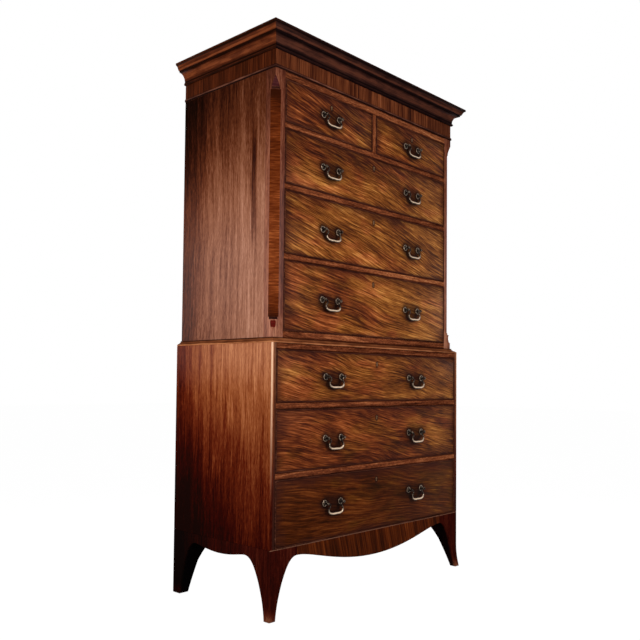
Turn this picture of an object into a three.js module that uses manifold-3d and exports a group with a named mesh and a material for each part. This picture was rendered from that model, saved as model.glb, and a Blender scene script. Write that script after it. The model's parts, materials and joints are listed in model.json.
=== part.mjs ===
// Chest on chest in mahogany. A lower case of three long drawers stands on splayed feet and carries an
// upper case of two short and three long drawers, with canted corners, under a frieze and a cornice.
// Millimetres. X runs across the front, -Y is the front, +Z is up and the floor is at Z = 0.

import * as THREE from 'three';
import { mergeVertices } from 'three/addons/utils/BufferGeometryUtils.js';
import Module from 'manifold-3d';

const wasm = await Module();
wasm.setup();

// Sizes of the two cases. Their heights follow from the drawers, rails and boards in them.
const lowerWidth = 1052;
const lowerDepth = 500;
const baseHeight = 220;
const waistStep = 20;
const waistHeight = 18;
const friezeHeight = 61;
const corniceHeight = 71;
const corniceProjection = 46;

// Heights of the drawer openings, each list from the top down
const shortDrawerHeight = 144;
const upperDrawerHeights = [183, 212, 234];
const lowerDrawerHeights = [173, 203, 218];

// Boards of the cases
const sideThickness = 18;
const backThickness = 12;
const lowerTopThickness = 20;
const upperTopThickness = 24;
const upperBottomThickness = 22;
const baseBoardThickness = 18;
const dividerThickness = 20;
const lowerRailHeight = 20;
const upperRailHeight = 19;
const railDepth = 60;
const runnerWidth = 45;
const dustboardThickness = 8;
const guideHeight = 20;
const jointGap = 0.3;
const backBoardWidth = 195;
const backGrooveWidth = 2.5;
const backGrooveDepth = 3;

// Stops on the rails, behind the drawer fronts
const stopLength = 32;
const stopDepth = 20;
const stopHeight = 5;
const shortStopSpread = 120;

// Canted corner posts of the upper case, with a lamb's tongue at each end of the cant
const postWidth = 45;
const cantWidth = 24;
const cantBaseMargin = 65;
const cantTopMargin = 67;
const tongueLength = 34;
const quirkLength = 8;

// Drawers
const frontGap = 1.2;
const frontInset = 0.5;
const frontThickness = 20;
const beadWidth = 3.4;
const beadProud = 2.8;
const beadRound = 1;
const liningThickness = 9;
const trayBottomThickness = 7;
const trayBottomRaise = 8;
const trayTopDrop = 10;
const slideGap = 0.5;
const sideGap = 1.5;
const drawerRearSpace = 12;
const tailLength = 14;
const tailPitch = 58;
const pinWidth = 5;
const tailSlopeShare = 0.16;
const lockWidth = 60;
const lockHeight = 46;
const lockDepth = 9;
const lockTopDrop = 6;

// Keyholes and the thin brass lining round each one
const keyholeDrop = 36;
const keyholeRadius = 2.6;
const keySlotWidth = 2.4;
const keySlotLength = 8;
const keyholeDepth = 12;
const liningRim = 1.6;
const liningProud = 0.6;

// Swan-neck handles: two roses with ball-headed posts, and a bail that swings in their heads
const handleCentres = 80;
const pivotProud = 15;
const roseRadius = 11;
const roseThickness = 2.6;
const postRadius = 3;
const headRadius = 5.6;
const bailDrop = 36;
const bailEndRadius = 1.9;
const bailNeckRadius = 2.4;
const bailMiddleRadius = 3.8;
const bailSocketGap = 0.3;
const bailSocketDepth = 5;
const handleHeightShare = 0.5;
const lowestHandleHeightShare = 0.555;

// Base: splayed feet and shaped aprons
const apronThickness = 20;
const footReach = 121;
const archCover = 31;
const footBlock = 82;
const footTip = 18;
const ankleHeight = 112;
const ankleWidth = 53;
const splay = 8;
const splayHeight = 90;
const backFootTip = 38;
const backAnkleWidth = 62;
const frontApronDip = 58;
const sideApronDip = 14;

// Astragal and the sunk board on top
const topBoardThickness = 15;
const topBoardRecess = 14;
const astragalHeight = 11;
const astragalProud = 3.2;

// One overrun serves every cut
const overrun = 5;

const upperWidth = lowerWidth - 2 * waistStep;
const upperDepth = lowerDepth - waistStep;
const lowerFace = -lowerDepth;
const upperFace = -upperDepth;
const lowerHalf = lowerWidth / 2;
const upperHalf = upperWidth / 2;
const backFace = -backThickness - jointGap;
const footArchHeight = baseHeight - archCover;
const openingHeights = [shortDrawerHeight, ...upperDrawerHeights];
const lowerCeiling = baseHeight + stackHeight(lowerDrawerHeights, lowerRailHeight);
const lowerHeight = lowerCeiling + lowerTopThickness;
const upperBottomBase = lowerHeight + waistHeight;
const upperFloor = upperBottomBase + upperBottomThickness;
const upperCeiling = upperFloor + stackHeight(openingHeights, upperRailHeight);
const friezeBase = upperCeiling + upperTopThickness;
const corniceBase = friezeBase + friezeHeight;
const overallHeight = corniceBase + corniceHeight;
const cantBase = upperBottomBase + cantBaseMargin;
const cantTop = friezeBase - cantTopMargin;
const lowerInnerHalf = lowerHalf - sideThickness;
const upperInnerHalf = upperHalf - sideThickness;
const postInnerHalf = upperHalf - postWidth;
const topBoardTop = overallHeight - topBoardRecess;
const topBoardBase = topBoardTop - topBoardThickness;

// Colours of the woods and the brass
const caseWood = new THREE.MeshStandardMaterial({ color: 0x6b2f17, roughness: 0.4, metalness: 0 });
const frontWood = new THREE.MeshStandardMaterial({ color: 0x85461f, roughness: 0.35, metalness: 0 });
const mouldingWood = new THREE.MeshStandardMaterial({ color: 0x4a1f12, roughness: 0.4, metalness: 0 });
const liningWood = new THREE.MeshStandardMaterial({ color: 0xa27a4c, roughness: 0.75, metalness: 0 });
const backWood = new THREE.MeshStandardMaterial({ color: 0x8a6238, roughness: 0.8, metalness: 0 });
const brass = new THREE.MeshStandardMaterial({ color: 0x6e5a34, roughness: 0.35, metalness: 1 });

function signedVolume(geometry) {
  const place = geometry.getAttribute('position');
  const index = geometry.getIndex();
  const [a, b, c] = [new THREE.Vector3(), new THREE.Vector3(), new THREE.Vector3()];
  let sum = 0;
  for (let i = 0; i < index.count; i += 3) {
    a.fromBufferAttribute(place, index.getX(i));
    b.fromBufferAttribute(place, index.getX(i + 1));
    c.fromBufferAttribute(place, index.getX(i + 2));
    sum += a.dot(b.cross(c));
  }
  return sum / 6;
}

// A closed, merged copy of a geometry whose faces point outwards.
function closed(geometry) {
  const bare = geometry.clone();
  bare.deleteAttribute('normal');
  bare.deleteAttribute('uv');
  const merged = mergeVertices(bare);
  if (signedVolume(merged) < 0) {
    const index = merged.getIndex();
    for (let i = 0; i < index.count; i += 3) {
      const first = index.getX(i);
      index.setX(i, index.getX(i + 1));
      index.setX(i + 1, first);
    }
  }
  return merged;
}

function solid(geometry) {
  const merged = closed(geometry);
  return new wasm.Manifold(new wasm.Mesh({
    numProp: 3,
    vertProperties: new Float32Array(merged.getAttribute('position').array),
    triVerts: new Uint32Array(merged.getIndex().array),
  }));
}

function fromSolid(manifold) {
  const { vertProperties, triVerts } = manifold.getMesh();
  const geometry = new THREE.BufferGeometry();
  geometry.setAttribute('position', new THREE.BufferAttribute(vertProperties, 3));
  geometry.setIndex(new THREE.BufferAttribute(triVerts, 1));
  geometry.computeVertexNormals();
  return geometry;
}

function join(...geometries) {
  return fromSolid(geometries.map(solid).reduce((whole, next) => whole.add(next)));
}

function cut(body, ...tools) {
  return fromSolid(tools.map(solid).reduce((rest, tool) => rest.subtract(tool), solid(body)));
}

function common(...geometries) {
  return fromSolid(geometries.map(solid).reduce((whole, next) => whole.intersect(next)));
}

// A block between two places on each axis.
function block([x0, x1], [y0, y1], [z0, z1]) {
  const geometry = new THREE.BoxGeometry(x1 - x0, y1 - y0, z1 - z0);
  return geometry.translate((x0 + x1) / 2, (y0 + y1) / 2, (z0 + z1) / 2);
}

// A shape drawn in the two other axes, in their order, and drawn out along one axis between two places.
function prism(shape, axis, [from, to], curveSegments = 8) {
  const depth = to - from;
  const geometry = new THREE.ExtrudeGeometry(shape, { depth, bevelEnabled: false, curveSegments });
  if (axis === 'z') return geometry.translate(0, 0, from);
  if (axis === 'x') return geometry.translate(0, 0, from).rotateX(Math.PI / 2).rotateZ(Math.PI / 2);
  return geometry.translate(0, 0, -to).rotateX(Math.PI / 2);
}

function outlineShape(points) {
  return new THREE.Shape(points.map(([s, t]) => new THREE.Vector2(s, t)));
}

// A skin over rings of points, with flat ends. The outline says how the ends are filled.
function loft(rings, outline) {
  const around = outline.length;
  const places = rings.flat();
  const faces = [];
  for (let ring = 0; ring + 1 < rings.length; ring += 1) {
    for (let i = 0; i < around; i += 1) {
      const here = ring * around + i;
      const beside = ring * around + (i + 1) % around;
      faces.push(here, beside, beside + around, here, beside + around, here + around);
    }
  }
  const last = (rings.length - 1) * around;
  const clockwise = THREE.ShapeUtils.isClockWise(outline);
  for (const triangle of THREE.ShapeUtils.triangulateShape(outline, [])) {
    const [a, b, c] = clockwise ? triangle.reverse() : triangle;
    faces.push(a, c, b, last + a, last + b, last + c);
  }
  const geometry = new THREE.BufferGeometry().setFromPoints(places);
  geometry.setIndex(faces);
  return closed(geometry);
}

// A moulding with mitred corners along the left side, the front and the right side of a case.
// The profile gives how far it stands out from the case and its height.
function mitredMoulding(profile, halfWidth, face, base, divisions) {
  const outline = profile.getPoints(divisions);
  if (outline[0].distanceTo(outline.at(-1)) < jointGap / 100) outline.pop();
  const stations = [
    ({ x, y }) => new THREE.Vector3(-halfWidth - x, 0, base + y),
    ({ x, y }) => new THREE.Vector3(-halfWidth - x, face - x, base + y),
    ({ x, y }) => new THREE.Vector3(halfWidth + x, face - x, base + y),
    ({ x, y }) => new THREE.Vector3(halfWidth + x, 0, base + y),
  ];
  const geometry = loft(stations.map((station) => outline.map(station)), outline);
  geometry.computeVertexNormals();
  return geometry;
}

const chest = new THREE.Group();
const root = new THREE.Group();
chest.add(root);

function piece(name, geometry, material, parent = root) {
  const mesh = new THREE.Mesh(geometry, material);
  mesh.name = name;
  parent.add(mesh);
  return mesh;
}

// Height of openings over each other with a rail between each two
function stackHeight(heights, railHeight) {
  return heights.reduce((sum, height) => sum + height, railHeight * (heights.length - 1));
}

// Places of the openings from the top down, with a rail between each two
function stack(ceiling, heights, railHeight) {
  let top = ceiling;
  return heights.map((height) => {
    const opening = [top - height, top];
    top -= height + railHeight;
    return opening;
  });
}

const [shortOpening, ...upperOpenings] = stack(upperCeiling, openingHeights, upperRailHeight);
const lowerOpenings = stack(lowerCeiling, lowerDrawerHeights, lowerRailHeight);
const sides = [['left', -1], ['right', 1]];

// Base

function splayAt(z) {
  return z < splayHeight ? splay * (1 - z / splayHeight) ** 2 : 0;
}

// The open side of a foot, from the arch beside it down to the floor, seen square to one face.
// Distances run inwards from the case's face.
function footProfile(tip, ankle) {
  const shape = new THREE.Shape();
  shape.moveTo(-splay - overrun, -overrun);
  shape.lineTo(tip, -overrun);
  shape.lineTo(tip, 0);
  shape.bezierCurveTo(
    tip + (ankle - tip) * 0.3, ankleHeight * 0.36,
    tip + (ankle - tip) * 0.7, ankleHeight * 0.73,
    ankle, ankleHeight);
  shape.bezierCurveTo(
    ankle + (footReach - ankle) * 0.25, ankleHeight + (footArchHeight - ankleHeight) * 0.5,
    ankle + (footReach - ankle) * 0.5, footArchHeight,
    footReach, footArchHeight);
  shape.lineTo(footReach + overrun, footArchHeight);
  shape.lineTo(footReach + overrun, baseHeight + overrun);
  shape.lineTo(-splay - overrun, baseHeight + overrun);
  return shape;
}

// A foot with its case corner at the origin and inwards positive. The lean gives how far its two outer
// faces stand out at a height.
function footGeometry(tip, ankle, lean) {
  const reach = footReach - jointGap / 2;
  const section = [
    [0, 0], [reach, 0], [reach, apronThickness], [footBlock, apronThickness],
    [footBlock, footBlock], [apronThickness, footBlock], [apronThickness, reach], [0, reach],
  ];
  const outline = section.map(([u, v]) => new THREE.Vector2(u, v));
  const levels = [0, 0.16, 0.32, 0.5, 0.7, 1].map((share) => share * splayHeight);
  levels.push(baseHeight - jointGap);
  const rings = levels.map((z) => section.map(([u, v]) => new THREE.Vector3(u - lean(z), v - lean(z), z)));
  const profile = footProfile(tip, ankle);
  const span = [-splay - overrun, footReach + overrun];
  return common(loft(rings, outline), prism(profile, 'y', span), prism(profile, 'x', span));
}

// The front feet are splayed and slender. The back feet stand straight and are stouter.
for (const [side, sign] of sides) {
  const front = footGeometry(footTip, ankleWidth, splayAt).scale(-sign, 1, 1);
  piece(`foot_front_${side}`, closed(front.translate(sign * lowerHalf, lowerFace, 0)), caseWood);
  const back = footGeometry(backFootTip, backAnkleWidth, () => 0).scale(-sign, -1, 1);
  piece(`foot_back_${side}`, closed(back.translate(sign * lowerHalf, 0, 0)), caseWood);
}

// The serpentine lower edge of an apron, between two arches, as seen square to its face.
function apronShape(halfLength, dip) {
  const shape = new THREE.Shape();
  shape.moveTo(-halfLength, baseHeight - jointGap);
  shape.lineTo(-halfLength, footArchHeight);
  shape.bezierCurveTo(
    -halfLength * 0.82, footArchHeight, -halfLength * 0.5, footArchHeight - dip, 0, footArchHeight - dip);
  shape.bezierCurveTo(
    halfLength * 0.5, footArchHeight - dip, halfLength * 0.82, footArchHeight, halfLength, footArchHeight);
  shape.lineTo(halfLength, baseHeight - jointGap);
  return shape;
}

const frontApronHalf = lowerHalf - footReach - jointGap / 2;
const sideApronHalf = lowerDepth / 2 - footReach - jointGap / 2;
piece('front_apron', prism(
  apronShape(frontApronHalf, frontApronDip), 'y', [lowerFace, lowerFace + apronThickness], 9), caseWood);
for (const [side, sign] of sides) {
  const inner = sign * (lowerHalf - apronThickness);
  const outer = sign * lowerHalf;
  const geometry = prism(
    apronShape(sideApronHalf, sideApronDip), 'x', [Math.min(inner, outer), Math.max(inner, outer)], 7);
  piece(`${side}_apron`, geometry.translate(0, -lowerDepth / 2, 0), caseWood);
}

// Every handle lines up with the middle of a short drawer, and so do the stops of the long drawers.
const handleX = (dividerThickness / 2 + postInnerHalf) / 2;
const longStops = [-handleX, handleX];
const shortStops = longStops.flatMap((x) => [x - shortStopSpread, x + shortStopSpread]);

// Blocks on a board that a drawer front comes to rest against.
function stops(places, face, top) {
  const front = face + frontInset + frontThickness + jointGap;
  return places.map((x) => block(
    [x - stopLength / 2, x + stopLength / 2],
    [front, front + stopDepth],
    [top - overrun, top + stopHeight]));
}

// The base board fills the frame of aprons and clears the blocks of the feet.
function baseBoardGeometry() {
  const half = lowerHalf - apronThickness - jointGap;
  const front = lowerFace + apronThickness + jointGap;
  const back = backFace;
  const cornerX = lowerHalf - footBlock - jointGap;
  const cornerFront = lowerFace + footBlock + jointGap;
  const cornerBack = -footBlock - jointGap;
  const backReach = lowerHalf - footReach - jointGap;
  const backRail = -apronThickness - jointGap;
  const board = prism(outlineShape([
    [-cornerX, front], [cornerX, front], [cornerX, cornerFront], [half, cornerFront], [half, cornerBack],
    [cornerX, cornerBack], [cornerX, backRail], [backReach, backRail], [backReach, back],
    [-backReach, back], [-backReach, backRail], [-cornerX, backRail], [-cornerX, cornerBack],
    [-half, cornerBack], [-half, cornerFront], [-cornerX, cornerFront],
  ]), 'z', [baseHeight - baseBoardThickness, baseHeight - jointGap]);
  return join(board, ...stops(longStops, lowerFace, baseHeight - jointGap));
}
piece('lower_bottom_board', baseBoardGeometry(), liningWood);

// Lower case

for (const [side, sign] of sides) {
  const x = [sign * lowerHalf, sign * lowerInnerHalf].sort((a, b) => a - b);
  piece(`lower_side_${side}`, block(x, [lowerFace, 0], [baseHeight, lowerHeight]), caseWood);
}
const lowerBoardX = [-lowerInnerHalf + jointGap, lowerInnerHalf - jointGap];
piece('lower_top_board', block(lowerBoardX, [lowerFace, backFace], [lowerCeiling, lowerHeight]), caseWood);

// A back of upright boards, with a groove at each joint between two of them.
function backGeometry([x0, x1], z) {
  const count = Math.max(1, Math.round((x1 - x0) / backBoardWidth));
  const grooves = Array.from({ length: count - 1 }, (_, i) => {
    const x = x0 + (x1 - x0) * (i + 1) / count;
    return block(
      [x - backGrooveWidth / 2, x + backGrooveWidth / 2], [-backGrooveDepth, overrun],
      [z[0] - overrun, z[1] + overrun]);
  });
  return cut(block([x0, x1], [-backThickness, 0], z), ...grooves);
}
piece('lower_back_board', backGeometry(lowerBoardX, [baseHeight, lowerHeight]), backWood);

// A drawer rail with runners and a thin dustboard behind it, open underneath, and stops on top.
function railGeometry(outline, half, face, [z0, z1], stopPlaces) {
  return cut(
    join(prism(outlineShape(outline), 'z', [z0, z1]), ...stops(stopPlaces, face, z1)),
    block(
      [-half + runnerWidth, half - runnerWidth],
      [face + railDepth, backFace - runnerWidth],
      [z0 - overrun, z1 - dustboardThickness]));
}

['upper', 'lower'].forEach((name, i) => {
  const top = lowerOpenings[i][0];
  const [x0, x1] = lowerBoardX;
  const outline = [[x0, lowerFace], [x1, lowerFace], [x1, backFace], [x0, backFace]];
  piece(`lower_rail_${name}`, railGeometry(
    outline, lowerInnerHalf, lowerFace, [top - lowerRailHeight, top], longStops), caseWood);
});

// Waist moulding: a splayed ogee that covers the joint between the cases.
function waistProfile() {
  const fillet = waistHeight * 0.14;
  const inner = waistStep * 0.2;
  const shape = new THREE.Shape();
  shape.moveTo(jointGap, jointGap);
  shape.lineTo(waistStep, jointGap);
  shape.lineTo(waistStep, fillet);
  shape.bezierCurveTo(
    waistStep * 0.78, waistHeight * 0.52, waistStep * 0.46, waistHeight * 0.36, inner, waistHeight - fillet);
  shape.lineTo(inner, waistHeight);
  shape.lineTo(jointGap, waistHeight);
  return shape;
}
piece('waist_moulding', mitredMoulding(
  waistProfile(), upperHalf, upperFace, lowerHeight, 5), mouldingWood);

// Upper case

const upperStart = lowerHeight + jointGap;
const upperEnd = friezeBase - jointGap;
const postBack = upperFace + postWidth;

// Guides on the side boards keep the drawers straight behind the posts.
for (const [side, sign] of sides) {
  const outer = sign * upperHalf;
  const inner = sign * upperInnerHalf;
  const guide = sign * (postInnerHalf + jointGap);
  const between = (a, b) => [Math.min(a, b), Math.max(a, b)];
  const y = [postBack + jointGap, 0];
  const guides = [shortOpening, ...upperOpenings].map(([floor]) => block(
    between(guide, inner + sign * overrun), [y[0], backFace], [floor + jointGap, floor + guideHeight]));
  const board = block(between(outer, inner), y, [upperStart, upperEnd]);
  piece(`upper_side_${side}`, join(board, ...guides), caseWood);
}

// How far the cant has eaten into a post: a rounded tongue below and a pointed one above, each as shares
// of the tongue's length from its tip and of the cant's width, then a quirk and the full cant.
const roundTongueShares = [
  [0, 0], [0.1, 0.26], [0.25, 0.43], [0.45, 0.53], [0.7, 0.55], [0.9, 0.48], [1, 0.38],
];
const pointedTongueShares = [[0, 0], [0.25, 0.24], [0.5, 0.46], [0.75, 0.64], [1, 0.76]];
const quirkShare = 0.82;

function cantSections() {
  const low = roundTongueShares.map(([along, deep]) => [
    cantBase - quirkLength - tongueLength * (1 - along), cantWidth * deep]);
  const high = pointedTongueShares.map(([along, deep]) => [
    cantTop + quirkLength + tongueLength * (1 - along), cantWidth * deep]).reverse();
  return [
    ...low, [cantBase - quirkLength, cantWidth * quirkShare], [cantBase, cantWidth * quirkShare],
    [cantBase, cantWidth], [cantTop, cantWidth],
    [cantTop, cantWidth * quirkShare], [cantTop + quirkLength, cantWidth * quirkShare], ...high,
  ];
}

function cornerPostGeometry() {
  const post = block([0, postWidth], [0, postWidth], [upperStart, upperEnd]);
  const outline = [[0, 0], [1, 0], [0, 1]].map(([u, v]) => new THREE.Vector2(u, v));
  const step = jointGap / 10;
  let last = -Infinity;
  const rings = cantSections().map(([z, depth]) => {
    last = Math.max(z, last + step);
    return [
      new THREE.Vector3(-overrun, -overrun, last),
      new THREE.Vector3(depth + overrun, -overrun, last),
      new THREE.Vector3(-overrun, depth + overrun, last),
    ];
  });
  return cut(post, loft(rings, outline));
}

for (const [side, sign] of sides) {
  const geometry = cornerPostGeometry();
  geometry.scale(-sign, 1, 1);
  geometry.translate(sign * upperHalf, upperFace, 0);
  piece(`corner_post_${side}`, closed(geometry), caseWood);
}

// Boards of the upper case run between the posts in front and between the sides behind them.
const frontX = postInnerHalf - jointGap;
const rearX = upperInnerHalf - jointGap;
const notchY = postBack + jointGap;
const upperOutline = [
  [-frontX, upperFace], [frontX, upperFace], [frontX, notchY], [rearX, notchY],
  [rearX, backFace], [-rearX, backFace], [-rearX, notchY], [-frontX, notchY],
];
const upperBoard = (z) => prism(outlineShape(upperOutline), 'z', z);
piece('upper_bottom_board', join(
  upperBoard([upperBottomBase, upperFloor]), ...stops(longStops, upperFace, upperFloor)), caseWood);
piece('upper_top_board', upperBoard([upperCeiling, upperEnd]), caseWood);
piece('upper_back_board', backGeometry([-rearX, rearX], [upperStart, topBoardBase - jointGap]), backWood);
['top', 'middle', 'bottom'].forEach((name, i) => {
  const top = [shortOpening, ...upperOpenings][i][0];
  piece(`upper_rail_${name}`, railGeometry(
    upperOutline, upperInnerHalf, upperFace, [top - upperRailHeight, top],
    i === 0 ? shortStops : longStops), caseWood);
});
piece('short_drawer_divider', block(
  [-dividerThickness / 2, dividerThickness / 2], [upperFace, backFace],
  [shortOpening[0] + jointGap, shortOpening[1] - jointGap]), caseWood);

// Frieze, astragal, cornice and the sunk board on top

const friezeShape = outlineShape([
  [-sideThickness, 0], [0, 0], [0, topBoardTop - friezeBase], [-sideThickness, topBoardTop - friezeBase],
]);
piece('frieze', mitredMoulding(friezeShape, upperHalf, upperFace, friezeBase, 1), caseWood);

function astragalProfile() {
  const shape = new THREE.Shape();
  shape.moveTo(jointGap, 0);
  shape.lineTo(astragalProud * 0.4, 0);
  shape.bezierCurveTo(
    astragalProud * 1.2, 0, astragalProud * 1.2, astragalHeight, astragalProud * 0.4, astragalHeight);
  shape.lineTo(jointGap, astragalHeight);
  return shape;
}
piece('astragal', mitredMoulding(astragalProfile(), upperHalf, upperFace, friezeBase, 4), mouldingWood);

// From the bottom: bead, fillet, cavetto, small step, cyma and top fillet.
function corniceProfile() {
  const out = (share) => corniceProjection * share;
  const up = (share) => (overallHeight - corniceBase) * share;
  const shape = new THREE.Shape();
  shape.moveTo(jointGap, 0);
  shape.lineTo(out(0.07), 0);
  shape.bezierCurveTo(out(0.2), 0, out(0.2), up(0.13), out(0.1), up(0.13));
  shape.lineTo(out(0.1), up(0.2));
  shape.bezierCurveTo(out(0.14), up(0.42), out(0.3), up(0.56), out(0.56), up(0.58));
  shape.lineTo(out(0.63), up(0.58));
  shape.lineTo(out(0.63), up(0.64));
  shape.bezierCurveTo(out(0.82), up(0.66), out(0.76), up(0.84), out(0.94), up(0.88));
  shape.lineTo(out(1), up(0.9));
  shape.lineTo(out(1), up(1));
  shape.lineTo(jointGap, up(1));
  return shape;
}
piece('cornice', mitredMoulding(corniceProfile(), upperHalf, upperFace, corniceBase, 5), mouldingWood);

piece('cornice_top_board', block(
  [-rearX, rearX], [upperFace + sideThickness + jointGap, 0], [topBoardBase, topBoardTop]), backWood);

// Drawers

// A keyhole grown by a margin, in X and Z about the centre of its round.
function keyholeShape(margin) {
  const radius = keyholeRadius + margin;
  const half = keySlotWidth / 2 + margin;
  const start = Math.asin(half / radius) - Math.PI / 2;
  const shape = new THREE.Shape();
  shape.moveTo(half, -keySlotLength - margin);
  shape.lineTo(radius * Math.cos(start), radius * Math.sin(start));
  shape.absarc(0, 0, radius, start, Math.PI - start, false);
  shape.lineTo(-half, -keySlotLength - margin);
  return shape;
}

// Rose and post turned as one, standing out along -Y from the drawer's face.
function rosePost(x, z, face) {
  const turned = [
    [0, -roseThickness], [roseRadius, -roseThickness], [roseRadius, roseThickness * 0.45],
    [roseRadius * 0.55, roseThickness], [postRadius, roseThickness * 1.9],
    [postRadius, pivotProud - headRadius * 0.9], [headRadius, pivotProud - headRadius * 0.35],
    [headRadius, pivotProud + headRadius * 0.35], [headRadius * 0.55, pivotProud + headRadius * 0.85],
    [0, pivotProud + headRadius],
  ].map(([radius, out]) => new THREE.Vector2(radius, out));
  return new THREE.LatheGeometry(turned, 8).rotateX(Math.PI).translate(x, face, z);
}

// The blind hole in a post's head, on the side that faces the other post.
function socket(x, z, face, sign) {
  const length = bailSocketDepth + overrun;
  const geometry = new THREE.CylinderGeometry(
    bailEndRadius + bailSocketGap, bailEndRadius + bailSocketGap, length, 8);
  geometry.rotateZ(Math.PI / 2);
  const deepest = x - sign * (headRadius - bailSocketDepth);
  return geometry.translate(deepest - sign * length / 2, face - pivotProud, z);
}

// One half of the bail's line, from its end in the socket to the middle, as shares of half the centres
// and of the drop.
const bailLineShares = [
  [0.86, 0], [0.75, 0.05], [0.69, 0.18], [0.74, 0.36], [0.86, 0.5], [0.89, 0.66], [0.8, 0.86], [0.56, 0.98],
  [0.25, 1.01], [0, 1],
];

function bailGeometry() {
  const half = handleCentres / 2;
  const endX = half - headRadius + bailSocketDepth - bailSocketGap;
  const line = [[endX, 0], ...bailLineShares.map(([s, t]) => [s * half, -t * bailDrop])];
  const whole = [...line, ...line.slice(0, -1).reverse().map(([x, z]) => [-x, z])];
  const curve = new THREE.CatmullRomCurve3(
    whole.map(([x, z]) => new THREE.Vector3(x, 0, z)), false, 'centripetal');
  const around = 7;
  const circle = Array.from({ length: around }, (_, i) => {
    const angle = 2 * Math.PI * (i + 0.5) / around;
    return new THREE.Vector2(Math.cos(angle), Math.sin(angle));
  });
  const rings = whole.map((_, i) => {
    const t = i / (whole.length - 1);
    const centre = curve.getPoint(t);
    const along = curve.getTangent(t);
    if (i === 0 || i === 1) along.set(-1, 0, 0);
    if (i === whole.length - 1 || i === whole.length - 2) along.set(-1, 0, 0);
    const across = new THREE.Vector3(-along.z, 0, along.x);
    const low = Math.min(1, Math.max(0, -centre.z / bailDrop));
    const pin = i < 2 || i > whole.length - 3;
    const radius = pin ? bailEndRadius : bailNeckRadius + (bailMiddleRadius - bailNeckRadius) * low ** 2;
    return circle.map(({ x, y }) => centre.clone()
      .addScaledVector(across, radius * x)
      .add(new THREE.Vector3(0, radius * y, 0)));
  });
  const geometry = loft(rings, circle);
  geometry.computeVertexNormals();
  return geometry;
}
const bail = bailGeometry();

// Lapped dovetails of a drawer's side in Y and Z, grown by a gap. A tail is widest at its end, in the front.
function tailShapes(height, gap) {
  const low = slideGap;
  const high = height - trayTopDrop;
  const count = Math.max(1, Math.round((high - low) / tailPitch));
  const pitch = (high - low) / count;
  const half = (pitch - pinWidth) / 2 + gap;
  const flare = tailLength * tailSlopeShare;
  const root = frontInset + frontThickness + jointGap;
  const end = root - tailLength - gap;
  return Array.from({ length: count }, (_, i) => {
    const middle = low + pitch * (i + 0.5);
    const outline = [[end, half], [root, half - flare], [root + overrun, half - flare]];
    return outlineShape([
      ...outline.map(([y, z]) => [y, middle - z]), ...outline.reverse().map(([y, z]) => [y, middle + z]),
    ]);
  });
}

// The tails on both sides of a drawer, or the sockets for them.
function tails(width, height, gap, [inner, outer]) {
  const half = width / 2 - sideGap;
  return tailShapes(height, gap).flatMap((shape) => sides.map(([, sign]) => prism(
    shape, 'x', [sign * (half - inner), sign * (half + outer)].sort((a, b) => a - b))));
}

// A drawer front with its cockbead, keyhole, lock, dovetail sockets and the posts of its handles. The
// origin is at the middle of the opening's lower edge, on the face of the case.
function drawerFront(width, height, handleXs, handleZ) {
  const half = width / 2 - frontGap;
  const low = frontGap;
  const high = height - frontGap;
  const back = frontInset + frontThickness;
  const rim = outlineShape([[-half, low], [half, low], [half, high], [-half, high]]);
  rim.holes.push(outlineShape([
    [-half + beadWidth, low + beadWidth], [half - beadWidth, low + beadWidth],
    [half - beadWidth, high - beadWidth], [-half + beadWidth, high - beadWidth],
  ]));
  const beadFoot = frontThickness / 2;
  const beadLength = beadProud + beadFoot - 2 * beadRound;
  const bead = new THREE.ExtrudeGeometry(rim, {
    depth: beadLength,
    bevelThickness: beadRound,
    bevelSize: beadRound,
    bevelOffset: -beadRound,
    bevelSegments: 1,
  });
  bead.translate(0, 0, beadProud - frontInset - beadLength - beadRound).rotateX(Math.PI / 2);

  const keyZ = height - keyholeDrop;
  const lockTop = high - lockTopDrop;
  const board = join(
    block([-half, half], [frontInset, back], [low, high]),
    bead,
    block(
      [-lockWidth / 2, lockWidth / 2], [back - beadRound, back + lockDepth],
      [lockTop - lockHeight, lockTop]),
    prism(keyholeShape(liningRim), 'y', [frontInset - liningProud, frontInset + liningRim], 5)
      .translate(0, 0, keyZ),
    ...handleXs.flatMap((x) => [-1, 1].map((sign) => rosePost(
      x + sign * handleCentres / 2, handleZ, frontInset))));
  return cut(
    board,
    prism(keyholeShape(0), 'y', [frontInset - overrun, frontInset + keyholeDepth], 5).translate(0, 0, keyZ),
    ...tails(width, height, jointGap, [liningThickness + jointGap, overrun]),
    ...handleXs.flatMap((x) => [-1, 1].map((sign) => socket(
      x + sign * handleCentres / 2, handleZ, frontInset, sign))));
}

// The sides, back and raised bottom of a drawer, behind its front.
function drawerTray(width, height, caseDepth) {
  const half = width / 2 - sideGap;
  const inner = half - liningThickness;
  const front = frontInset + frontThickness + jointGap;
  const back = caseDepth - backThickness - drawerRearSpace;
  const floor = slideGap + trayBottomRaise;
  const inside = [front - overrun, back - liningThickness];
  return cut(
    join(
      block([-half, half], [front, back], [slideGap, height - trayTopDrop]),
      ...tails(width, height, 0, [liningThickness, 0])),
    block([-inner, inner], inside, [floor + trayBottomThickness, height]),
    block([-inner, inner], inside, [-overrun, floor]));
}

function addDrawer(name, [floor, top], [left, right], face, handleXs, handleShare) {
  const drawer = new THREE.Group();
  const width = right - left;
  const height = top - floor;
  const middle = (left + right) / 2;
  const handleZ = height * handleShare;
  const places = handleXs.map((x) => x - middle);
  drawer.position.set(middle, face, floor);
  root.add(drawer);
  piece(`${name}_front`, drawerFront(width, height, places, handleZ), frontWood, drawer);
  piece(`${name}_tray`, drawerTray(width, height, -face), liningWood, drawer);
  places.forEach((x) => {
    const side = x < 0 ? '_left' : '_right';
    const handle = piece(`${name}_bail${places.length > 1 ? side : ''}`, bail, brass, drawer);
    handle.position.set(x, frontInset - pivotProud, handleZ);
  });
}

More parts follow.
